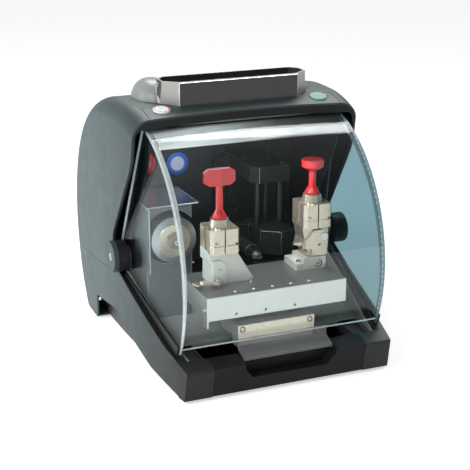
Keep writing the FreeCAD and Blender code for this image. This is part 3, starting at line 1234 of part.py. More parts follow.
def left_clamp_knob():
    """Red wing knob: flared foot, stem and an eight-sided wing with a ridge down its middle."""
    x, y, z = LEFT_CLAMP_X, LEFT_CLAMP_Y, knob_seat(LEFT_JAW_Z)
    top = z + KNOB_STEM_H
    half = WING_W / 2
    crown = [(x - half, top + 6), (x - half + 9, top), (x + half - 9, top), (x + half, top + 6),
             (x + half, top + WING_H - 5), (x + half - 8, top + WING_H), (x - half + 8, top + WING_H),
             (x - half, top + WING_H - 5)]
    wing = prism("Y", crown, y - WING_T / 2, y + WING_T / 2)
    plan = [(x - half, y - 3.5), (x, y - WING_T / 2), (x + half, y - 3.5), (x + half, y + 3.5),
            (x, y + WING_T / 2), (x - half, y + 3.5)]
    wing = wing.common(prism("Z", plan, top - 1, top + WING_H + 1))
    knob = fuse([knob_foot(x, y, z, KNOB_STEM_H), wing])
    return knob.cut(rod("Z", x, y, 0, z + 20, STUD_R + RUN_GAP))


def right_clamp_knob():
    """Red round knob: flared foot, stem and a mushroom head."""
    x, y, z = RIGHT_CLAMP_X, RIGHT_CLAMP_Y, knob_seat(RIGHT_JAW_Z)
    top = z + ROUND_STEM_H
    neck = Part.makeCone(KNOB_STEM_R, ROUND_HEAD_R, 9, Vec(x, y, top), Vec(0, 0, 1))
    head = rod("Z", x, y, top + 9, top + ROUND_HEAD_H, ROUND_HEAD_R)
    head = head.makeFillet(1.5, [e for e in head.Edges if e.Closed and e.CenterOfMass.z > top + 10])
    knob = fuse([knob_foot(x, y, z, ROUND_STEM_H), neck, head])
    return knob.cut(rod("Z", x, y, 0, z + 20, STUD_R + RUN_GAP))


def left_stop_plate():
    """Thin key-stop plates that swing on a screw at the left clamp's foot."""
    x, y, z = LEFT_CLAMP_X + STOP_DX, LEFT_CLAMP_Y + STOP_DY, TABLE_TOP_Z
    eye = rod("Z", x, y, z + 5, z + 8, 7)
    arm = prism("Z", [(x - 4, y - 6), (x - 38, y + 2, 2), (x - 42, y + 16, 2), (x - 26, y + 16), (x, y + 4)],
                z + 5, z + 7.5)
    upper = prism("Z", [(x - 2, y - 4), (x - 26, y + 4, 2), (x - 30, y + 14, 2), (x - 20, y + 12), (x, y + 3)],
                  z + 7.4, z + 9.5)
    plate = fuse([eye, arm, upper])
    return plate.cut(rod("Z", x, y, 0, FAR, STOP_SCREW_R + RUN_GAP))


def table_screws():
    """Shoulder screw of the key stop and the cap screws that hold the clamps down."""
    x, y, z = LEFT_CLAMP_X + STOP_DX, LEFT_CLAMP_Y + STOP_DY, TABLE_TOP_Z
    shoulder = rod("Z", x, y, z, z + 10, STOP_SCREW_R)
    shoulder = fuse([shoulder, cap_screw("Z", x, y, z + 10, z + 13.5, 4.5, True)])
    table_screw = cap_screw("Z", LEFT_CLAMP_X + 48, LEFT_CLAMP_Y - 22, z, z + 4, 4, True)
    step = z + RISER_H - STEP_DROP
    step_screw = cap_screw("Z", RIGHT_CLAMP_X - 29, RIGHT_CLAMP_Y - 12, step, step + 4, 4, True)
    return group([shoulder, table_screw, step_screw])


def right_clamp_base():
    """Stepped riser block on the table, with the clamp's lower body, lower jaw and stud."""
    x, y, z = RIGHT_CLAMP_X, RIGHT_CLAMP_Y, TABLE_TOP_Z
    half, deep = CLAMP_W / 2, CLAMP_D / 2
    riser = prism("X", [(y - 21, z), (y - 21, z + RISER_H), (y + 24, z + RISER_H), (y + 24, z)], x - 24, x + 18)
    step = box(x - 36, x - 24, y - 21, y + 30, z, z + RISER_H - STEP_DROP)
    seat = RIGHT_JAW_Z - 10
    trunk = prism("Y", [(x - 14, z + RISER_H), (x + 18, z + RISER_H), (x + 22, z + 40), (x + half, seat),
                        (x - half, seat), (x - 20, z + 52), (x - 24, z + 36), (x - 14, z + 36)], y - 16, y + 20)
    face = prism("Y", [(x - 8, z + RISER_H + 2), (x + 20, z + RISER_H + 2), (x + 22, z + 58), (x + 12, z + 68),
                       (x - 4, z + 68), (x - 20, z + 50), (x - 20, z + 36), (x - 8, z + 36)], y - 21, y - 15.9)
    face = face.cut(rod("Y", x + 6, z + 42, -FAR, FAR, 2.4))
    face = face.cut(rod("Y", x + DIAL_DX, z + DIAL_H, -FAR, y - 17, DIAL_R + RUN_GAP))
    tip = prism("Y", [(x - 38, z + 44), (x - 20, z + 40), (x - 20, z + 46), (x - 36, z + 47)], y - 12, y - 6)
    head = clamp_head(x, y, seat - 4, RIGHT_JAW_Z, 7)
    stud = rod("Z", x, y, RIGHT_JAW_Z - 2, RIGHT_JAW_Z + STUD_H, STUD_R)
    body = fuse([riser, step, trunk, face, tip, head, stud])
    return body.cut(tube("Y", x + 6, z + 10, -FAR, y - 20.4, 6.4, 4.8))


def right_clamp_dial():
    """Small slotted dial on the right clamp's face."""
    x, y, z = RIGHT_CLAMP_X + DIAL_DX, RIGHT_CLAMP_Y, TABLE_TOP_Z + DIAL_H
    dial = rod("Y", x, z, y - 24, y - 17.1, DIAL_R)
    return dial.cut(box(x - DIAL_R - 1, x + DIAL_R + 1, y - 25, y - 23, z - 0.9, z + 0.9))


# ---------------------------------------------------------------- case fasteners
def housing_screws():
    """Cap screws of the floor, the guard and the head cover."""
    screws = []
    for x in (-140, -96, 92, 140):
        screws.append(cap_screw("Z", x, FLOOR_FRONT_Y + 12, FLOOR_Z, FLOOR_Z + 2.5, 4, True))
    for x, y in ((-150, -120), (-112, -96), (150, -110)):
        screws.append(cap_screw("Z", x, y, FLOOR_Z, FLOOR_Z + 2.5, 4, True))
    top = HEAD_LOW_Z + HEAD_H
    for x, y in ((HEAD_X0 + 10, 40), (HEAD_X0 + 20, 4), (HEAD_X1 - 10, -18), (HEAD_X1 - 10, 40)):
        screws.append(cap_screw("Z", x, y, top, top + 2.5, 3.2, True))
    for z in (FLOOR_Z + 20, GUARD_TOP_Z - 40):
        screws.append(cap_screw("X", GUARD_REAR_Y - 30, z, GUARD_X0 - 2.5, GUARD_X0, 3.2, False))
    return group(screws)


NODES = {
    "base_plate": base_plate,
    "rubber_feet": rubber_feet,
    "lower_housing": lower_housing,
    "upper_hood": upper_hood,
    "opening_trims": opening_trims,
    "inner_liner": inner_liner,
    "work_floor": work_floor,
    "base_frame": base_frame,
    "pivot_ears": pivot_ears,
    "rear_panel": rear_panel,
    "power_inlet": power_inlet,
    "rocker_switch": rocker_switch,
    "tray_body": tray_body,
    "tray_front_panel": tray_front_panel,
    "stop_button": lambda: push_button(-1),
    "start_button": lambda: push_button(1),
    "lamp_housing": lamp_housing,
    "lamp_lens": lamp_lens,
    "electronics": electronics,
    "housing_screws": housing_screws,
    "cutter_guard": cutter_guard,
    "cutter_bearing_block": cutter_bearing_block,
    "cutter_shaft": cutter_shaft,
    "cutter_wheel": cutter_wheel,
    "cutter_flange": cutter_flange,
    "cutter_motor": cutter_motor,
    "motor_pulley": motor_pulley,
    "drive_belt": drive_belt,
    "z_column": z_column,
    "guide_rails": guide_rails,
    "axis_motors": axis_motors,
    "z_screw": z_screw,
    "z_carriage": z_carriage,
    "end_mill": end_mill,
    "y_carriage": y_carriage,
    "y_front_cover": y_front_cover,
    "y_screw": y_screw,
    "x_rails": x_rails,
    "x_motor": x_motor,
    "x_screw": x_screw,
    "x_table": x_table,
    "table_bearings": table_bearings,
    "table_screws": table_screws,
    "left_clamp_base": left_clamp_base,
    "left_clamp_jaw": lambda: clamp_jaw(LEFT_CLAMP_X, LEFT_CLAMP_Y, LEFT_JAW_Z),
    "left_clamp_knob": left_clamp_knob,
    "left_stop_plate": left_stop_plate,
    "right_clamp_base": right_clamp_base,
    "right_clamp_jaw": lambda: clamp_jaw(RIGHT_CLAMP_X, RIGHT_CLAMP_Y, RIGHT_JAW_Z),
    "right_clamp_knob": right_clamp_knob,
    "right_clamp_dial": right_clamp_dial,
    "visor_front": visor_front,
    "visor_sides": visor_sides,
    "visor_rails": visor_rails,
    "visor_handle": visor_handle,
    "pivot_hubs": pivot_hubs,
    "pivot_discs": pivot_discs,
    "pivot_screws": pivot_screws,
    "drawer_front": drawer_front,
    "drawer_tray": drawer_tray,
}

os.makedirs("parts", exist_ok=True)
for name, make in NODES.items():
    shape = make()
    if not shape.isValid() or not shape.Solids:
        raise SystemExit("bad shape: " + name)
    if len(shape.Solids) == 1:
        shape = shape.Solids[0]
    shape.exportStep(os.path.join("parts", name + ".step"))
    size = shape.BoundBox
    print(name, len(shape.Solids), "solids", round(shape.Volume / 1000, 1), "cm3",
          [round(v, 1) for v in (size.XMin, size.XMax, size.YMin, size.YMax, size.ZMin, size.ZMax)])
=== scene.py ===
"""Key duplicating machine: materials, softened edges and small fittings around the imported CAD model.

Metres, in the CAD model's own frame: X to the right, Y to the back, Z up.
"""
import json
import math

import bmesh
import bpy
from mathutils import Matrix, Vector


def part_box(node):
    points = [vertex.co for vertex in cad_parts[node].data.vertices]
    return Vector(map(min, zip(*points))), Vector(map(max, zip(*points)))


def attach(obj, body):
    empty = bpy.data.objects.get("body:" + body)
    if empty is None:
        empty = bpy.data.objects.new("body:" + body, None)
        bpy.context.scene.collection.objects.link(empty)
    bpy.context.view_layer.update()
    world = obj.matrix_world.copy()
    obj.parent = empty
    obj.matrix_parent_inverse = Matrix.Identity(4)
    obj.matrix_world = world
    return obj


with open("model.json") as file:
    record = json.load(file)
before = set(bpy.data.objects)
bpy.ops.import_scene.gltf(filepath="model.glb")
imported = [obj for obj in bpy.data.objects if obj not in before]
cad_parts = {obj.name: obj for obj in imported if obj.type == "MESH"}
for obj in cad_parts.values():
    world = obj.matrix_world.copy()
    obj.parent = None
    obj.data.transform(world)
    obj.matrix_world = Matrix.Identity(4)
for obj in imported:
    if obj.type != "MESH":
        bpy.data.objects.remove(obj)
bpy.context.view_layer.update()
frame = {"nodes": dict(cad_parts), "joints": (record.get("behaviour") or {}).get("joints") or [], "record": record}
NODES = frame["nodes"]
SLOT_OF = {row["node"]: row["material_slot"] for row in frame["record"]["subparts"]}
MM = 0.001


# ---------------------------------------- places worked out from the frame
def joint(name):
    return next(j for j in frame["joints"] if j["name"] == name)


def middle(node):
    low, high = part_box(node)
    return (low + high) / 2


PIVOT = Vector(joint("visor_hinge")["pos_m"])
CUTTER = Vector(joint("cutter_spin")["pos_m"])
VISOR_LOW, VISOR_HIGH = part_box("visor_front")
VISOR_R = PIVOT.y - VISOR_LOW.y
VISOR_HALF = VISOR_HIGH.x
WALL_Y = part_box("z_column")[1].y
TABLE_LOW, TABLE_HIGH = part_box("x_table")
TRAY_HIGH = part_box("tray_body")[1]


# ---------------------------------------- camera, lamps and floor
CAMERA_AZIMUTH = math.radians(-22.39)
CAMERA_ELEVATION = math.radians(18.45)
CAMERA_AT = Vector((-0.757, -1.876, 0.852))
CAMERA_LENS = 91.8
SENSOR_W = 36.0
VIEW_DEPTH = 60.0
SURROUND_FRONT = (0.16, 0.16, 0.16)
SURROUND_BACK = (0.93, 0.94, 0.95)
SURROUND_STRENGTH = 0.6
FLOOR_HALF = 20.0
FLOOR_GLOW = 0.55


def make_camera():
    data = bpy.data.cameras.new("camera")
    data.sensor_width = SENSOR_W
    data.lens = CAMERA_LENS
    data.clip_end = VIEW_DEPTH
    camera = bpy.data.objects.new("camera", data)
    bpy.context.scene.collection.objects.link(camera)
    back = Vector((math.sin(CAMERA_AZIMUTH) * math.cos(CAMERA_ELEVATION),
                   -math.cos(CAMERA_AZIMUTH) * math.cos(CAMERA_ELEVATION),
                   math.sin(CAMERA_ELEVATION)))
    right = Vector((math.cos(CAMERA_AZIMUTH), math.sin(CAMERA_AZIMUTH), 0))
    up = back.cross(right)
    turn = Matrix((right, up, back)).transposed()
    camera.matrix_world = Matrix.Translation(CAMERA_AT) @ turn.to_4x4()
    bpy.context.scene.camera = camera


def area_light(name, at, target, size, size_y, power, colour=(1, 1, 1)):
    data = bpy.data.lights.new(name, "AREA")
    data.shape = "RECTANGLE"
    data.size = size
    data.size_y = size_y
    data.energy = power
    data.color = colour
    lamp = bpy.data.objects.new(name, data)
    bpy.context.scene.collection.objects.link(lamp)
    lamp.location = at
    lamp.rotation_euler = (Vector(target) - Vector(at)).to_track_quat("-Z", "Y").to_euler()
    return lamp


def make_world():
    """Studio surroundings: bright behind the machine, darker on the side where the operator stands."""
    world = bpy.data.worlds.new("studio")
    bpy.context.scene.world = world
    world.use_nodes = True
    tree = world.node_tree
    tree.nodes.clear()
    where = tree.nodes.new("ShaderNodeTexCoord")
    split = tree.nodes.new("ShaderNodeSeparateXYZ")
    tree.links.new(where.outputs["Generated"], split.inputs[0])
    share = scaled(tree, split.outputs["Y"], 0.5, 0.5)
    colour = tones(tree, share.outputs[0], SURROUND_FRONT, SURROUND_BACK, 0.15, 0.66)
    back = tree.nodes.new("ShaderNodeBackground")
    back.inputs["Strength"].default_value = SURROUND_STRENGTH
    tree.links.new(colour, back.inputs["Color"])
    out = tree.nodes.new("ShaderNodeOutputWorld")
    tree.links.new(back.outputs[0], out.inputs["Surface"])


def make_stage():
    """Wide white floor that glows a little, so that the backdrop stays white."""
    corners = [(x * FLOOR_HALF, y * FLOOR_HALF, 0) for x, y in ((-1, -1), (1, -1), (1, 1), (-1, 1))]
    mesh = bpy.data.meshes.new("floor")
    mesh.from_pydata(corners, [], [(0, 1, 2, 3)])
    floor = bpy.data.objects.new("floor", mesh)
    bpy.context.scene.collection.objects.link(floor)
    white = smooth_paint("floor_white", (0.9, 0.9, 0.9), 0.9)
    shader = white.node_tree.nodes["Principled BSDF"]
    shader.inputs["Emission Color"].default_value = (1, 1, 1, 1)
    shader.inputs["Emission Strength"].default_value = FLOOR_GLOW
    floor.data.materials.append(white)


# ---------------------------------------- node helpers
def new_material(name):
    material = bpy.data.materials.new(name)
    material.use_nodes = True
    tree = material.node_tree
    tree.nodes.clear()
    out = tree.nodes.new("ShaderNodeOutputMaterial")
    shader = tree.nodes.new("ShaderNodeBsdfPrincipled")
    tree.links.new(shader.outputs[0], out.inputs["Surface"])
    return material, tree, shader


def object_point(tree, stretch=(1, 1, 1)):
    """Object coordinates, scaled along each axis."""
    where = tree.nodes.new("ShaderNodeTexCoord")
    mapping = tree.nodes.new("ShaderNodeMapping")
    mapping.inputs["Scale"].default_value = stretch
    tree.links.new(where.outputs["Object"], mapping.inputs["Vector"])
    return mapping.outputs["Vector"]


def coordinate(tree, axis):
    """Object coordinate along one axis."""
    split = tree.nodes.new("ShaderNodeSeparateXYZ")
    tree.links.new(object_point(tree), split.inputs[0])
    return split.outputs[axis]


def noise(tree, point, scale, detail=3.0, rough=0.5):
    node = tree.nodes.new("ShaderNodeTexNoise")
    node.inputs["Scale"].default_value = scale
    node.inputs["Detail"].default_value = detail
    node.inputs["Roughness"].default_value = rough
    tree.links.new(point, node.inputs["Vector"])
    return node.outputs["Fac"]


def scaled(tree, value, factor, addend=0.0):
    """Node for value * factor + addend."""
    node = tree.nodes.new("ShaderNodeMath")
    node.operation = "MULTIPLY_ADD"
    node.inputs[1].default_value = factor
    node.inputs[2].default_value = addend
    tree.links.new(value, node.inputs[0])
    return node


def spread(tree, value, low, high, from_low=0.3, from_high=0.7):
    node = tree.nodes.new("ShaderNodeMapRange")
    node.inputs["From Min"].default_value = from_low
    node.inputs["From Max"].default_value = from_high
    node.inputs["To Min"].default_value = low
    node.inputs["To Max"].default_value = high
    tree.links.new(value, node.inputs["Value"])
    return node.outputs["Result"]


def tones(tree, value, dark, light, start=0.35, end=0.65):
    ramp = tree.nodes.new("ShaderNodeValToRGB")
    ramp.color_ramp.elements[0].position = start
    ramp.color_ramp.elements[0].color = (*dark, 1)
    ramp.color_ramp.elements[1].position = end
    ramp.color_ramp.elements[1].color = (*light, 1)
    tree.links.new(value, ramp.inputs["Fac"])
    return ramp.outputs["Color"]


def blended(tree, share, first, second):
    """Colour that goes from first to second as share goes from 0 to 1; each is a colour's socket."""
    mixed = tree.nodes.new("ShaderNodeMixRGB")
    tree.links.new(share, mixed.inputs["Fac"])
    tree.links.new(first, mixed.inputs["Color1"])
    tree.links.new(second, mixed.inputs["Color2"])
    return mixed.outputs["Color"]


def bump(tree, shader, height, strength, distance):
    node = tree.nodes.new("ShaderNodeBump")
    node.inputs["Strength"].default_value = strength
    node.inputs["Distance"].default_value = distance
    tree.links.new(height, node.inputs["Height"])
    tree.links.new(node.outputs["Normal"], shader.inputs["Normal"])


def see_through(tree, surface, tint, cover):
    """Mixes a surface with a see-through one; cover is the surface's share."""
    through = tree.nodes.new("ShaderNodeBsdfTransparent")
    through.inputs["Color"].default_value = (*tint, 1)
    blend = tree.nodes.new("ShaderNodeMixShader")
    blend.inputs["Fac"].default_value = cover
    tree.links.new(through.outputs[0], blend.inputs[1])
    tree.links.new(surface.outputs[0], blend.inputs[2])
    tree.links.new(blend.outputs[0], tree.nodes["Material Output"].inputs["Surface"])
    return through, blend


def shade(colour, factor):
    return tuple(min(1.0, c * factor) for c in colour)


# ---------------------------------------- kinds of material
CLOUD_SCALE = 9.0       # soft cloudiness of moulded parts
RUB_SCALE = 34.0        # patches that hands have rubbed
SPARK_SCALE = 1900.0    # spark-eroded grain of the mould
SPARK_DEPTH = 0.12 * MM


def smooth_paint(name, colour, roughness):
    """Even, slightly cloudy coat of paint or film for the small pieces."""
    material, tree, shader = new_material(name)
    cloud = noise(tree, object_point(tree), 160.0)
    tree.links.new(tones(tree, cloud, shade(colour, 0.94), shade(colour, 1.05)), shader.inputs["Base Color"])
    tree.links.new(spread(tree, cloud, roughness - 0.04, roughness + 0.05), shader.inputs["Roughness"])
    return material


def moulded_surface(tree, shader, roughness, grain, specular):
    """Fine spark-eroded grain and rubbed patches, the same on every moulded part."""
    point = object_point(tree)
    rub = noise(tree, point, RUB_SCALE, detail=4.0, rough=0.6)
    tree.links.new(spread(tree, rub, roughness - 0.04, roughness + 0.05), shader.inputs["Roughness"])
    shader.inputs["Specular IOR Level"].default_value = specular
    fine = noise(tree, point, SPARK_SCALE, detail=2.0, rough=0.6)
    bump(tree, shader, fine, 0.22 * grain, SPARK_DEPTH)


def moulded_plastic(name, colour, roughness, grain=1.0, coat=0.0, specular=0.5):
    """Moulded plastic of one faintly cloudy colour; coat is the share of a glossy top coat."""
    material, tree, shader = new_material(name)
    cloud = noise(tree, object_point(tree), CLOUD_SCALE, detail=2.0)
    tree.links.new(tones(tree, cloud, shade(colour, 0.9), shade(colour, 1.12)), shader.inputs["Base Color"])
    moulded_surface(tree, shader, roughness, grain, specular)
    shader.inputs["Coat Weight"].default_value = coat
    shader.inputs["Coat Roughness"].default_value = 0.12
    return material


def shell_plastic_front_shaded(name, shaded_front_colour, rear_colour, start, end, roughness):
    """Moulded case plastic with painted shade: darker in the front than towards the back."""
    material, tree, shader = new_material(name)
    cloud = noise(tree, object_point(tree), CLOUD_SCALE, detail=2.0)
    front = tones(tree, cloud, shade(shaded_front_colour, 0.9), shade(shaded_front_colour, 1.12))
    rear = tones(tree, cloud, shade(rear_colour, 0.93), shade(rear_colour, 1.08))
    along = spread(tree, coordinate(tree, "Y"), 0, 1, start, end)
    tree.links.new(blended(tree, along, front, rear), shader.inputs["Base Color"])
    moulded_surface(tree, shader, roughness, grain=1.0, specular=0.3)
    return material


def powder_coat(name, colour, roughness, peel=1.0, specular=0.5):
    """Painted sheet metal with a soft orange-peel surface."""
    material, tree, shader = new_material(name)
    point = object_point(tree)
    cloud = noise(tree, point, 6.0)
    orange_peel = noise(tree, point, 420.0, detail=2.0, rough=0.55)
    tree.links.new(tones(tree, cloud, shade(colour, 0.93), shade(colour, 1.07)), shader.inputs["Base Color"])
    tree.links.new(spread(tree, orange_peel, roughness - 0.05, roughness + 0.06), shader.inputs["Roughness"])
    shader.inputs["Specular IOR Level"].default_value = specular
    bump(tree, shader, orange_peel, 0.1 * peel, 0.2 * MM)
    return material


def turned_metal(name, colour, roughness):
    """Ground or turned metal: fine even grain without a direction, over a slightly uneven tone."""
    material, tree, shader = new_material(name)
    grain = noise(tree, object_point(tree), 900.0, detail=3.0, rough=0.7)
    cloud = noise(tree, object_point(tree), 24.0)
    both = scaled(tree, grain, 0.5)
    tree.links.new(scaled(tree, cloud, 0.5).outputs[0], both.inputs[2])
    tone = tones(tree, both.outputs[0], shade(colour, 0.82), shade(colour, 1.12))
    tree.links.new(tone, shader.inputs["Base Color"])
    tree.links.new(spread(tree, grain, roughness - 0.07, roughness + 0.1), shader.inputs["Roughness"])
    shader.inputs["Metallic"].default_value = 1.0
    bump(tree, shader, grain, 0.108, 0.08 * MM)
    return material


def satin_metal(name, colour, roughness, metallic):
    """Bead-blasted and plated metal: even fine grain, faint smears, no direction."""
    material, tree, shader = new_material(name)
    point = object_point(tree)
    smear = noise(tree, point, 30.0, detail=3.0, rough=0.55)
    grain = noise(tree, point, 1500.0, detail=2.0, rough=0.6)
    tree.links.new(tones(tree, smear, shade(colour, 0.97), shade(colour, 1.03)), shader.inputs["Base Color"])
    tree.links.new(spread(tree, smear, roughness - 0.02, roughness + 0.03), shader.inputs["Roughness"])
    shader.inputs["Metallic"].default_value = metallic
    bump(tree, shader, grain, 0.05, 0.04 * MM)
    return material


def rubber(name, colour):
    material, tree, shader = new_material(name)
    point = object_point(tree)
    cloud = noise(tree, point, 60.0)
    fine = noise(tree, point, 1200.0, detail=2.0)
    tree.links.new(tones(tree, cloud, shade(colour, 0.8), shade(colour, 1.3)), shader.inputs["Base Color"])
    shader.inputs["Roughness"].default_value = 0.82
    bump(tree, shader, fine, 0.4, 0.15 * MM)
    return material


def lit_lens(name, colour, glow, dim, bright_x, dim_x):
    """Diffusing lamp lens with faint ribs; its glow falls off from one end to the other."""
    material, tree, shader = new_material(name)
    lines = noise(tree, object_point(tree, (1, 0.02, 0.02)), 220.0, detail=1.0)
    tree.links.new(tones(tree, lines, shade(colour, 0.94), colour), shader.inputs["Base Color"])
    shader.inputs["Roughness"].default_value = 0.35
    shader.inputs["Emission Color"].default_value = (*colour, 1)
    along = spread(tree, coordinate(tree, "X"), glow, dim, bright_x, dim_x)
    tree.links.new(along, shader.inputs["Emission Strength"])
    return material


def sheen_band(name, bright, cover, dull=None, bright_x=-1, dull_x=1):
    """Translucent, faintly streaked band; its colour goes from bright to dull between two places along X. On the
    visor it carries painted reflection, painted highlight and painted shade; on the handle, its grey tint.
    """
    material, tree, shader = new_material(name)
    streak = noise(tree, object_point(tree, (0.3, 1, 1)), 90.0, detail=2.0)
    along = spread(tree, coordinate(tree, "X"), 0, 1, bright_x, dull_x)
    flat = tree.nodes.new("ShaderNodeRGB")
    flat.outputs[0].default_value = (*(dull or bright), 1)
    colour = blended(tree, along, tones(tree, streak, shade(bright, 0.8), bright), flat.outputs[0])
    tree.links.new(colour, shader.inputs["Base Color"])
    shader.inputs["Roughness"].default_value = 0.25
    see_through(tree, shader, (1, 1, 1), cover)
    return material


def clear_sheet(name, tint, mirror, slope=0.6, painted_reflection_tint=None):
    """Clear sheet: tinted see-through plus a mirror share that grows towards grazing angles. A second tint, if
    given, is a painted reflection that takes over from the first across x = 0, on the right.
    """
    material, tree, shader = new_material(name)
    tree.nodes.remove(shader)
    gloss = tree.nodes.new("ShaderNodeBsdfGlossy")
    gloss.inputs["Color"].default_value = (0.95, 0.98, 1.0, 1)
    wipe = noise(tree, object_point(tree), 26.0, detail=3.0, rough=0.6)
    tree.links.new(spread(tree, wipe, 0.02, 0.06), gloss.inputs["Roughness"])
    through, blend = see_through(tree, gloss, tint, mirror)
    if painted_reflection_tint is not None:
        side = spread(tree, coordinate(tree, "X"), 0, 1, -10 * MM, 10 * MM)
        tree.links.new(tones(tree, side, tint, painted_reflection_tint, 0.0, 1.0), through.inputs["Color"])
    facing = tree.nodes.new("ShaderNodeLayerWeight")
    steep = tree.nodes.new("ShaderNodeMath")
    steep.operation = "POWER"
    steep.inputs[1].default_value = 5.0
    tree.links.new(facing.outputs["Facing"], steep.inputs[0])
    share = scaled(tree, steep.outputs[0], slope, mirror)
    share.use_clamp = True
    tree.links.new(share.outputs[0], blend.inputs["Fac"])
    return material


def frosted_edge(name, colour, open_share):
    """Sawn and flame-polished edge of a clear sheet, partly see-through; its colour is painted: pale as a painted
    highlight, dark as painted shade.
    """
    material, tree, shader = new_material(name)
    streak = noise(tree, object_point(tree), 300.0, detail=2.0)
    tree.links.new(tones(tree, streak, shade(colour, 0.86), colour), shader.inputs["Base Color"])
    shader.inputs["Roughness"].default_value = 0.3
    see_through(tree, shader, (0.9, 0.96, 0.98), 1.0 - open_share)
    return material


# ---------------------------------------- materials of the CAD nodes
MATERIALS = {
    # shell_grey: painted shade, darker from the back towards the front
    "shell_grey": shell_plastic_front_shaded("shell_grey", (0.006, 0.0065, 0.006), (0.05, 0.078, 0.08), -0.26, 0.08, 0.5),
    "bar_black": moulded_plastic("bar_black", (0.006, 0.0065, 0.006), 0.52, specular=0.15),
    "trim_black": moulded_plastic("trim_black", (0.006, 0.006, 0.007), 0.5, 0.6, specular=0.3),
    "liner_black": powder_coat("liner_black", (0.009, 0.011, 0.013), 0.42),
    "floor_grey": powder_coat("floor_grey", (0.22, 0.235, 0.215), 0.42),
    "guard_grey": powder_coat("guard_grey", (0.115, 0.13, 0.125), 0.34),
    "steel_plate": powder_coat("steel_plate", (0.045, 0.047, 0.048), 0.55),
    "rubber_black": rubber("rubber_black", (0.014, 0.014, 0.014)),
    "silver_plastic": satin_metal("silver_plastic", (0.36, 0.36, 0.345), 0.34, 0.35),
    "panel_black": moulded_plastic("panel_black", (0.004, 0.004, 0.005), 0.22, 0.3, 0.4),
    "button_white": moulded_plastic("button_white", (0.72, 0.77, 0.80), 0.25, 0.2, 0.5),
    "button_green": moulded_plastic("button_green", (0.20, 0.46, 0.36), 0.25, 0.2, 0.5),
    "lens_white": lit_lens("lens_white", (0.93, 0.97, 1.0), 1.1, 0.10, -0.10, 0.12),
    "aluminium": satin_metal("aluminium", (0.60, 0.60, 0.57), 0.34, 0.8),
    "nickel": satin_metal("nickel", (0.60, 0.53, 0.43), 0.25, 0.75),
    "steel": turned_metal("steel", (0.62, 0.62, 0.61), 0.24),
    "steel_dark": turned_metal("steel_dark", (0.22, 0.22, 0.23), 0.36),
    "wheel_steel": turned_metal("wheel_steel", (0.50, 0.51, 0.53), 0.34),
    "head_black": powder_coat("head_black", (0.010, 0.011, 0.011), 0.55, 0.6, 0.3),
    "knob_red": moulded_plastic("knob_red", (0.62, 0.022, 0.028), 0.2, 0.25, 0.6),
    "board_green": smooth_paint("board_green", (0.02, 0.16, 0.06), 0.5),
    "belt_black": rubber("belt_black", (0.02, 0.02, 0.02)),
    "clear_sheet": clear_sheet("clear_sheet", (0.965, 0.99, 0.99), 0.022),
}
# side sheets: clear on the left, a darker blue-grey painted reflection on the right
SIDE_SHEET = clear_sheet("clear_side_sheet", (0.93, 0.97, 0.98), 0.012, 0.22, (0.45, 0.575, 0.61))
HANDLE_CLEAR = sheen_band("handle_clear", (0.55, 0.57, 0.57), 0.13)
DIAL_WHITE = smooth_paint("dial_white", (0.78, 0.77, 0.73), 0.3)
OWN_MATERIAL = {"visor_sides": SIDE_SHEET, "visor_handle": HANDLE_CLEAR, "right_clamp_dial": DIAL_WHITE}
for name, node in NODES.items():
    material = OWN_MATERIAL.get(name, MATERIALS[SLOT_OF[name]])
    for slot in node.material_slots:
        slot.material = material


# ---------------------------------------- faces in a colour of their own; the table's top, the guard's top and the visor's sheet edges get painted shade, reflection and highlight
def paint_faces(name, material, wanted):
    """Gives the material to those faces of a node for which wanted(centre, normal) is true."""
    mesh = NODES[name].data
    mesh.materials.append(material)
    place = len(mesh.materials) - 1
    for face in mesh.polygons:
        if wanted(face.center, face.normal):
            face.material_index = place


TRAY_SIDE = 130 * MM
WELL_FLOOR = TRAY_HIGH.z - 34 * MM
WELL_HALF_Y = 27.5 * MM
WELL_MIDDLE = Vector((0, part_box("tray_front_panel")[1].y + 29.5 * MM, 0))
TRAY_REAR_Y = WELL_MIDDLE.y + 30 * MM


def in_well(centre, normal):
    """Floor and inward faces of the tray's well."""
    inward = Vector((WELL_MIDDLE.x - centre.x, WELL_MIDDLE.y - centre.y, 0))
    if centre.z < WELL_FLOOR - MM or centre.z > TRAY_HIGH.z - 0.5 * MM:
        return False
    if abs(centre.x) > TRAY_SIDE - 2 * MM or abs(centre.y - WELL_MIDDLE.y) > WELL_HALF_Y:
        return False
    return normal.z > 0.9 or (abs(normal.z) < 0.3 and normal.dot(inward) > 0)


def on_tray_end(centre, normal):
    return abs(normal.x) > 0.95 and abs(centre.x) > TRAY_SIDE - MM


def on_left_foot(centre, normal):
    return centre.z < FOOT_TOP and centre.y > FOOT_FRONT


def looks_up(centre, normal):
    return normal.z > 0.9


def on_sheet_rim(centre, normal):
    """Edge faces of the visor's front sheet: they look neither to nor from its pivot axis."""
    out = Vector((0, centre.y - PIVOT.y, centre.z - PIVOT.z)).normalized()
    return abs(normal.dot(out)) < 0.5


TRAY_BLACK = moulded_plastic("tray_black", (0.020, 0.020, 0.021), 0.45, 0.6)
CLAMP_FOOT = satin_metal("clamp_foot", (0.70, 0.68, 0.63), 0.4, 0.3)
# table's upward faces: painted shade, darker than the rest of the table
TABLE_TOP_PAINTED_SHADE = satin_metal("table_top_painted_shade", (0.17, 0.172, 0.165), 0.32, 0.6)
# guard's upward faces: a dark blue painted reflection over its grey paint
GUARD_TOP_PAINTED_REFLECTION = powder_coat("guard_top_painted_reflection", (0.016, 0.020, 0.032), 0.2, 0.4)
NUT_METAL = satin_metal("nut_metal", (0.26, 0.23, 0.18), 0.24, 0.85)
ROD_DARK = satin_metal("rod_dark", (0.055, 0.058, 0.056), 0.3, 0.8)
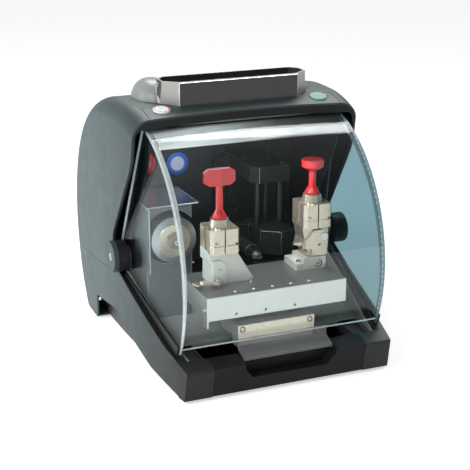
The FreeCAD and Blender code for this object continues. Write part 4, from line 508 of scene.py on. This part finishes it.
# sheet edges: the pale one is painted highlight, the dark one painted shade
EDGE_PAINTED_HIGHLIGHT = frosted_edge("sheet_edge_painted_highlight", (0.78, 0.84, 0.85), 0.2)
EDGE_PAINTED_SHADE = frosted_edge("sheet_edge_painted_shade", (0.10, 0.17, 0.20), 0.25)
FOOT_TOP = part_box("left_clamp_jaw")[0].z - 11 * MM
FOOT_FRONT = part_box("left_clamp_base")[0].y + 4 * MM
RIGHT_FOOT_TOP = TABLE_HIGH.z + 21 * MM
CARRIAGE_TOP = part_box("y_carriage")[1].z
NUT_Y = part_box("cutter_wheel")[0].y - 3.2 * MM
paint_faces("tray_body", TRAY_BLACK, in_well)
paint_faces("tray_body", MATERIALS["shell_grey"], lambda centre, normal: centre.y > TRAY_REAR_Y)
paint_faces("tray_body", TRAY_BLACK, on_tray_end)
paint_faces("left_clamp_base", CLAMP_FOOT, on_left_foot)
paint_faces("right_clamp_base", CLAMP_FOOT, lambda centre, normal: centre.z < RIGHT_FOOT_TOP)
# upward faces of the table: painted shade
paint_faces("x_table", TABLE_TOP_PAINTED_SHADE, looks_up)
# upward faces of the guard: painted reflection
paint_faces("cutter_guard", GUARD_TOP_PAINTED_REFLECTION, looks_up)
paint_faces("cutter_flange", NUT_METAL, lambda centre, normal: centre.y < NUT_Y)
paint_faces("guide_rails", ROD_DARK, lambda centre, normal: centre.z > CARRIAGE_TOP)
paint_faces("z_screw", ROD_DARK, lambda centre, normal: True)
# side sheet edges: painted highlight on the left, painted shade on the right
paint_faces("visor_sides", EDGE_PAINTED_HIGHLIGHT, lambda centre, normal: centre.x < 0 and abs(normal.x) < 0.5)
paint_faces("visor_sides", EDGE_PAINTED_SHADE, lambda centre, normal: centre.x > 0 and abs(normal.x) < 0.5)
# rim of the front sheet: painted highlight
paint_faces("visor_front", EDGE_PAINTED_HIGHLIGHT, on_sheet_rim)


# ---------------------------------------- softened edges of the CAD nodes
WELD_GAP = 0.01 * MM
FLAT_ANGLE = math.radians(0.6)
SHARP_ANGLE = math.radians(32)
# bright materials for the rounded edge bands: partly bare metal, partly painted highlight; on the guard's grey
# paint, painted highlight only
BARE_EDGE_AND_PAINTED_HIGHLIGHT = turned_metal("bare_edge_and_painted_highlight", (0.78, 0.79, 0.78), 0.3)
GUARD_EDGE_PAINTED_HIGHLIGHT = powder_coat("guard_edge_painted_highlight", (0.52, 0.56, 0.57), 0.3)
CLAMP_EDGE_AND_PAINTED_HIGHLIGHT = turned_metal("clamp_edge_and_painted_highlight", (0.88, 0.85, 0.78), 0.24)


def soften(name, width, segments, edge):
    """Rounds a node's sharp edges with modifiers; edge is the rounded band's own material, if it has one."""
    node = NODES[name]
    if edge is not None:
        node.data.materials.append(edge)
    weld = node.modifiers.new("weld", "WELD")
    weld.merge_threshold = WELD_GAP
    flat = node.modifiers.new("flat", "DECIMATE")
    flat.decimate_type = "DISSOLVE"
    flat.angle_limit = FLAT_ANGLE
    flat.delimit = {"MATERIAL"}
    bevel = node.modifiers.new("bevel", "BEVEL")
    bevel.width = width * MM
    bevel.segments = segments
    bevel.limit_method = "ANGLE"
    bevel.angle_limit = SHARP_ANGLE
    bevel.use_clamp_overlap = True
    bevel.harden_normals = True
    if edge is not None:
        bevel.material = len(node.material_slots) - 1
    normals = node.modifiers.new("normals", "WEIGHTED_NORMAL")
    normals.keep_sharp = True


# node: width of the rounded band in mm, its segments, its material
SOFT_EDGES = {
    "lower_housing": (0.8, 2, None), "upper_hood": (0.9, 2, None), "opening_trims": (0.6, 2, None),
    "drawer_front": (0.9, 3, None), "tray_body": (0.7, 2, BARE_EDGE_AND_PAINTED_HIGHLIGHT),
    "tray_front_panel": (0.9, 2, BARE_EDGE_AND_PAINTED_HIGHLIGHT),
    "cutter_guard": (0.7, 2, GUARD_EDGE_PAINTED_HIGHLIGHT), "work_floor": (0.6, 2, None), "inner_liner": (0.5, 2, None),
    "z_column": (0.5, 1, BARE_EDGE_AND_PAINTED_HIGHLIGHT), "z_carriage": (0.7, 2, BARE_EDGE_AND_PAINTED_HIGHLIGHT), "x_table": (0.5, 2, BARE_EDGE_AND_PAINTED_HIGHLIGHT),
    "y_carriage": (0.6, 2, BARE_EDGE_AND_PAINTED_HIGHLIGHT), "y_front_cover": (0.4, 2, None), "x_rails": (0.4, 2, None),
    "left_clamp_base": (0.7, 2, CLAMP_EDGE_AND_PAINTED_HIGHLIGHT), "left_clamp_jaw": (0.7, 2, CLAMP_EDGE_AND_PAINTED_HIGHLIGHT),
    "right_clamp_base": (0.7, 2, CLAMP_EDGE_AND_PAINTED_HIGHLIGHT), "right_clamp_jaw": (0.7, 2, CLAMP_EDGE_AND_PAINTED_HIGHLIGHT),
    "left_clamp_knob": (0.9, 3, None), "right_clamp_knob": (0.9, 3, None), "left_stop_plate": (0.3, 2, None),
    "cutter_wheel": (0.25, 2, None), "cutter_flange": (0.4, 2, None), "cutter_shaft": (0.3, 2, None),
    "right_clamp_dial": (0.3, 2, None), "table_screws": (0.2, 2, None), "housing_screws": (0.2, 2, None),
    "visor_handle": (0.7, 2, EDGE_PAINTED_HIGHLIGHT), "visor_rails": (0.5, 2, None), "pivot_hubs": (0.8, 3, None),
    "pivot_discs": (0.5, 2, None), "pivot_screws": (0.3, 2, None), "stop_button": (0.7, 3, None),
    "start_button": (0.7, 3, None), "lamp_housing": (0.6, 2, None), "rubber_feet": (0.6, 2, None),
    "power_inlet": (0.4, 2, None), "rocker_switch": (0.6, 2, None), "rear_panel": (0.5, 2, None),
    "end_mill": (0.3, 2, None), "axis_motors": (0.5, 2, None), "x_motor": (0.5, 2, None),
    "cutter_bearing_block": (0.6, 2, None), "motor_pulley": (0.4, 2, None), "drawer_tray": (0.4, 2, None),
}
for name, (width, segments, edge) in SOFT_EDGES.items():
    soften(name, width, segments, edge)


# ---------------------------------------- tools for the small fittings
FRONT = (0, -1, 0)
UP = (0, 0, 1)
STRIP_T = 0.4 * MM      # thickness of the films on the visor
MARK_LIFT = 0.12 * MM   # engraved marks stand this far out of their face, and reach MARK_SINK into it
MARK_SINK = 0.3 * MM


def span(low, high, count):
    return [low + (high - low) * i / (count - 1) for i in range(count)]


def add_piece(name, shape, body, slot, *materials):
    """Turns a bmesh into a piece that moves with a body."""
    mesh = bpy.data.meshes.new(name)
    shape.to_mesh(mesh)
    shape.free()
    piece = bpy.data.objects.new(name, mesh)
    bpy.context.scene.collection.objects.link(piece)
    for material in materials:
        mesh.materials.append(material)
    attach(piece, body)


def turned_profile(profile, at, axis, places=None, steps=40):
    """Solid of revolution. The profile is (radius, height) pairs; places are its faces' material numbers."""
    shape = bmesh.new()
    turn = Vector((0, 0, 1)).rotation_difference(Vector(axis)).to_matrix()
    rings = []
    for radius, height in profile:
        if radius < 1e-6:
            rings.append([shape.verts.new(Vector(at) + turn @ Vector((0, 0, height)))])
            continue
        ring = []
        for i in range(steps):
            angle = 2 * math.pi * i / steps
            spot = Vector((radius * math.cos(angle), radius * math.sin(angle), height))
            ring.append(shape.verts.new(Vector(at) + turn @ spot))
        rings.append(ring)
    for index, (one, two) in enumerate(zip(rings, rings[1:])):
        for i in range(steps):
            j = (i + 1) % steps
            corners = [one[i % len(one)], one[j % len(one)], two[j % len(two)], two[i % len(two)]]
            unique = list(dict.fromkeys(corners))
            if len(unique) > 2:
                face = shape.faces.new(unique)
                face.smooth = True
                face.material_index = places[index] if places else 0
    bmesh.ops.recalc_face_normals(shape, faces=shape.faces)
    return shape


def join_shapes(shapes):
    """One bmesh out of several."""
    whole = bmesh.new()
    for shape in shapes:
        part = bpy.data.meshes.new("part")
        shape.to_mesh(part)
        shape.free()
        whole.from_mesh(part)
        bpy.data.meshes.remove(part)
    return whole


def swept_strip(rows, smooth_sides=()):
    """Closed strip through rows of four corners each."""
    shape = bmesh.new()
    rings = [[shape.verts.new(corner) for corner in row] for row in rows]
    for one, two in zip(rings, rings[1:]):
        for i in range(4):
            j = (i + 1) % 4
            face = shape.faces.new((one[i], one[j], two[j], two[i]))
            face.smooth = i in smooth_sides
    shape.faces.new(rings[0][::-1])
    shape.faces.new(rings[-1])
    bmesh.ops.recalc_face_normals(shape, faces=shape.faces)
    return shape


def visor_strip(angles, radius, edges):
    """Thin strip along an arc about the visor's pivot; edges(angle) gives its two x places."""
    outer = radius + STRIP_T
    rows = []
    for angle in angles:
        tilt = math.radians(angle)
        left, right = edges(angle)
        rows.append([(x, PIVOT.y - r * math.cos(tilt), PIVOT.z + r * math.sin(tilt))
                     for x, r in ((left, radius), (right, radius), (right, outer), (left, outer))])
    return swept_strip(rows, smooth_sides=(0, 2))


def engraved_arc(at, radius, width, start, stop):
    """Flat arc on a face that looks to the front, from one angle to another."""
    rows = []
    for angle in span(start, stop, 24):
        turn = math.radians(angle)
        rows.append([(at.x + r * math.cos(turn), at.y - lift, at.z + r * math.sin(turn))
                     for r, lift in ((radius, MARK_LIFT), (radius + width, MARK_LIFT),
                                     (radius + width, -MARK_SINK), (radius, -MARK_SINK))])
    return swept_strip(rows)


def pin(at, radius, length):
    """Round pin that looks to the front, with a small chamfer."""
    profile = [(0, length), (radius * 0.7, length), (radius, length - radius * 0.3), (radius, -MM), (0, -MM)]
    return turned_profile(profile, at, FRONT, steps=24)


# ---------------------------------------- round labels on the back wall
LABEL_R = 21 * MM
LABEL_T = 0.3 * MM
LABEL_SINK = 0.05 * MM


def wall_label(side, x, z, rim, centre):
    """Coloured rim round a paler middle, with nothing printed on it."""
    name = "wall_label_" + side
    profile = [(0, LABEL_T), (LABEL_R * 0.6, LABEL_T), (LABEL_R * 0.62, LABEL_T),
               (LABEL_R - 0.1 * MM, LABEL_T), (LABEL_R, 0), (0, 0)]
    shape = turned_profile(profile, (x, WALL_Y - LABEL_SINK, z), FRONT, [1, 1, 0, 0, 0], 64)
    rim_paint = smooth_paint(name + "_rim", rim, 0.35)
    middle_paint = smooth_paint(name + "_middle", centre, 0.4)
    add_piece(name, shape, "root", "button_white", rim_paint, middle_paint)


wall_label("left", -118.7 * MM, 295.5 * MM, (0.38, 0.03, 0.045), (0.20, 0.18, 0.19))
wall_label("right", -55.6 * MM, 289.5 * MM, (0.025, 0.09, 0.34), (0.30, 0.34, 0.44))

# ---------------------------------------- visor: bonded seams, pale on the left as painted highlight and dark on the right as painted shade, and a painted reflection band along its top
LOW_DEG = -21.8         # lower and upper end of the front sheet, about the pivot
HIGH_DEG = 75.4
BAND_LOW_DEG = 61.5
SHEET_T = 3 * MM
SEAM_R = VISOR_R - SHEET_T - STRIP_T - 0.2 * MM
BAND_R = SEAM_R - 0.6 * MM
BAND_HALF = VISOR_HALF - 9 * MM
SEAM_FOOT_W = 2.6 * MM
SEAM_TOP_W = 7.8 * MM
SEAM_GROWTH_DEG = 60.0
# seam colours: painted highlight on the left seam, painted shade on the right one
SEAM_PAINTED_HIGHLIGHT = sheen_band("seam_painted_highlight", (0.86, 0.90, 0.90), 0.62)
SEAM_PAINTED_SHADE = sheen_band("seam_painted_shade", (0.12, 0.17, 0.19), 0.5)
# band along the visor's top: a painted reflection, bright on the left and dull on the right
TOP_BAND_PAINTED_REFLECTION = sheen_band("top_band_painted_reflection", (0.85, 0.88, 0.87), 0.8, (0.26, 0.25, 0.235), -60 * MM, 60 * MM)


def seam_width(angle):
    """The seam is narrowest at the visor's foot and widens upwards."""
    share = max(0.0, min(1.0, (angle - LOW_DEG) / SEAM_GROWTH_DEG))
    return SEAM_FOOT_W + (SEAM_TOP_W - SEAM_FOOT_W) * share


def seam(side):
    """Seam along the left (-1) or right (1) corner."""
    return visor_strip(span(LOW_DEG, HIGH_DEG, 49), SEAM_R,
                       lambda angle: (side * (VISOR_HALF - seam_width(angle)), side * (VISOR_HALF - STRIP_T)))


for side, label, material in ((-1, "left", SEAM_PAINTED_HIGHLIGHT), (1, "right", SEAM_PAINTED_SHADE)):
    add_piece("visor_seam_" + label, seam(side), "visor", "clear_sheet", material)
# painted reflection band along the top of the visor
strip = visor_strip(span(BAND_LOW_DEG, HIGH_DEG, 15), BAND_R, lambda angle: (-BAND_HALF, BAND_HALF))
add_piece("visor_top_band", strip, "visor", "clear_sheet", TOP_BAND_PAINTED_REFLECTION)

# ---------------------------------------- stop button: coloured rim
RIM_IN = 11.4 * MM
RIM_OUT = 13.6 * MM
RIM_SLOPE = 0.2 * MM
RIM_T = 0.25 * MM
BUTTON_FACE = 5.5 * MM
out = -Vector(joint("stop_press")["axis"])
profile = [(RIM_IN, 0), (RIM_IN + RIM_SLOPE, RIM_T), (RIM_OUT - RIM_SLOPE, RIM_T), (RIM_OUT, 0), (RIM_IN, 0)]
rim = turned_profile(profile, middle("stop_button") + out * BUTTON_FACE, out, steps=64)
add_piece("stop_button_rim", rim, "stop", "button_white",
          smooth_paint("stop_button_rim_colour", (0.55, 0.03, 0.03), 0.3))

# ---------------------------------------- carriage cover: dark washers round its two screws
COVER_LOW, COVER_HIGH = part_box("y_front_cover")
COVER_SCREW_IN = 8 * MM
COVER_SCREW_DROP = 7 * MM
COVER_SCREW_Y = COVER_HIGH.y - 2 * MM
WASHER_IN = 3.9 * MM
WASHER_OUT = 5.2 * MM
WASHER_T = 0.3 * MM
shapes = []
for x in (COVER_LOW.x + COVER_SCREW_IN, COVER_HIGH.x - COVER_SCREW_IN):
    profile = [(WASHER_IN, 0), (WASHER_OUT, 0), (WASHER_OUT, WASHER_T), (WASHER_IN, WASHER_T), (WASHER_IN, 0)]
    shapes.append(turned_profile(profile, (x, COVER_SCREW_Y, COVER_HIGH.z - COVER_SCREW_DROP), FRONT))
add_piece("cover_washers", join_shapes(shapes), "y_slide_body", "steel_dark",
          smooth_paint("washer_dark", (0.06, 0.055, 0.05), 0.4))

# ---------------------------------------- table: bright screw beside each hole in front
SCREW_COUNT = 5
SCREW_STEP = 33 * MM
SCREW_FIRST_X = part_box("table_bearings")[0].x - 9 * MM
SCREW_Y = TABLE_LOW.y + 13 * MM
profile = [(0, 0.9 * MM), (1.5 * MM, 0.9 * MM), (2.5 * MM, 0.2 * MM), (2.5 * MM, -0.4 * MM), (0, -0.4 * MM)]
shapes = [turned_profile(profile, (SCREW_FIRST_X + i * SCREW_STEP, SCREW_Y, TABLE_HIGH.z), UP, steps=24)
          for i in range(SCREW_COUNT)]
add_piece("table_front_screws", join_shapes(shapes), "table", "steel",
          smooth_paint("screw_white", (0.88, 0.87, 0.84), 0.35))

# ---------------------------------------- clamps: brass pins, set-screw holes painted black as painted shade, and a mark
BRASS = satin_metal("brass_pin", (0.55, 0.38, 0.18), 0.3, 0.8)
# black of the engraved mark; in the set-screw holes and the hexagon socket it is painted shade
MARK_AND_HOLE_SHADE_BLACK = smooth_paint("engraved_mark_and_hole_shade_black", (0.008, 0.008, 0.008), 0.6)
PIN_PLACE = Vector((9, 0, 5.5)) * MM        # from the jaw's lower left front corner
HOLE_PLACE = Vector((-3.5, 6, 3)) * MM      # from the jaw's lower right front corner
for side in ("left", "right"):
    low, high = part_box(side + "_clamp_jaw")
    brass_pin = pin(low + PIN_PLACE, 2.3 * MM, 1.6 * MM)
    hole = pin(Vector((high.x, low.y, low.z)) + HOLE_PLACE, 2.2 * MM, 0.3 * MM)
    add_piece(side + "_jaw_pin", brass_pin, side + "_jaw", "nickel", BRASS)
    add_piece(side + "_jaw_hole", hole, side + "_jaw", "steel_dark", MARK_AND_HOLE_SHADE_BLACK)
mark_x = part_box("right_clamp_dial")[0].x - 6 * MM
mark_at = Vector((mark_x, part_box("right_clamp_base")[0].y, TABLE_HIGH.z + 11 * MM))
arc = engraved_arc(mark_at, 5.2 * MM, 1.6 * MM, -150, 75)
dot = engraved_arc(mark_at, 0.4 * MM, 1.2 * MM, 0, 359)
add_piece("clamp_mark", join_shapes([arc, dot]), "table", "steel_dark", MARK_AND_HOLE_SHADE_BLACK)

# ---------------------------------------- cutter: hexagon socket in the arbor's screw, painted black as painted shade
SOCKET = [(0, 0.35 * MM), (2.2 * MM, 0.35 * MM), (2.4 * MM, 0), (0, -0.2 * MM)]
socket_at = (CUTTER.x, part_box("cutter_shaft")[0].y - 0.3 * MM, CUTTER.z)
add_piece("arbor_socket", turned_profile(SOCKET, socket_at, FRONT, steps=6), "cutter", "steel_dark", MARK_AND_HOLE_SHADE_BLACK)

# ---------------------------------------- tray: lobes that carry the hood up to its rear corners
LOBE_X = 126 * MM
LOBE_Y = 20 * MM
LOBE_FOOT_Z = TRAY_HIGH.z - 47 * MM
LOBE_HALF_W = 36 * MM
LOBE_HALF_D = 54 * MM
LOBE_RINGS = 14
LOBE_SIDES = 48


def lobe(side, height):
    """Rounded bump: rings that shrink towards the crown a little later than those of an ellipsoid."""
    shape = bmesh.new()
    rings = []
    for i in range(LOBE_RINGS):
        rise = math.pi / 2 * i / LOBE_RINGS
        flat = math.cos(rise) ** 0.8
        z = LOBE_FOOT_Z + height * math.sin(rise) ** 0.9
        ring = []
        for j in range(LOBE_SIDES):
            turn = 2 * math.pi * j / LOBE_SIDES
            ring.append(shape.verts.new((side * LOBE_X + LOBE_HALF_W * flat * math.cos(turn),
                                         LOBE_Y + LOBE_HALF_D * flat * math.sin(turn), z)))
        rings.append(ring)
    for one, two in zip(rings, rings[1:]):
        for i in range(LOBE_SIDES):
            j = (i + 1) % LOBE_SIDES
            face = shape.faces.new((one[i], one[j], two[j], two[i]))
            face.smooth = True
    crown = shape.faces.new(rings[-1])
    crown.smooth = True
    shape.faces.new(rings[0][::-1])
    bmesh.ops.recalc_face_normals(shape, faces=shape.faces)
    return shape


# the lobes are of the hood's plastic, painted a lighter grey than it as a painted highlight
LOBE_PAINTED_HIGHLIGHT_GREY = moulded_plastic("lobe_painted_highlight_grey", (0.20, 0.215, 0.205), 0.38)
for side, label, height in ((-1, "left", 42 * MM), (1, "right", 24 * MM)):
    add_piece("tray_lobe_" + label, lobe(side, height), "root", "shell_grey", LOBE_PAINTED_HIGHLIGHT_GREY)

# ---------------------------------------- studio
make_camera()
make_world()
make_stage()
area_light("overhead", (0.35, 1.2, 2.0), (0, 0, 0.3), 2.4, 0.9, 9)
area_light("key_left", (-2.2, -1.0, 1.8), (0, -0.05, 0.2), 1.2, 1.2, 42)
area_light("rim_left", (-2.4, 0.9, 0.8), (0, 0.1, 0.2), 0.9, 1.6, 26, (0.94, 0.98, 1.0))
area_light("front_fill", (-0.9, -2.4, 1.9), (0, -0.1, 0.15), 0.8, 0.6, 16)
softbox = area_light("sheet_softbox", (0.75, 0.95, 1.95), (0, -0.1, 0.36), 2.2, 0.7, 60)
softbox.visible_diffuse = False     # seen only as a reflection
STRIP_AT = (-0.03, PIVOT.y - 0.05, PIVOT.z + 0.19)
lamp_strip = area_light("lamp_strip", STRIP_AT, (-0.02, -0.06, 0.1), 0.24, 0.02, 0.6)
lamp_strip.visible_camera = False
lamp_strip.visible_glossy = False
bpy.context.scene.view_settings.view_transform = "Standard"
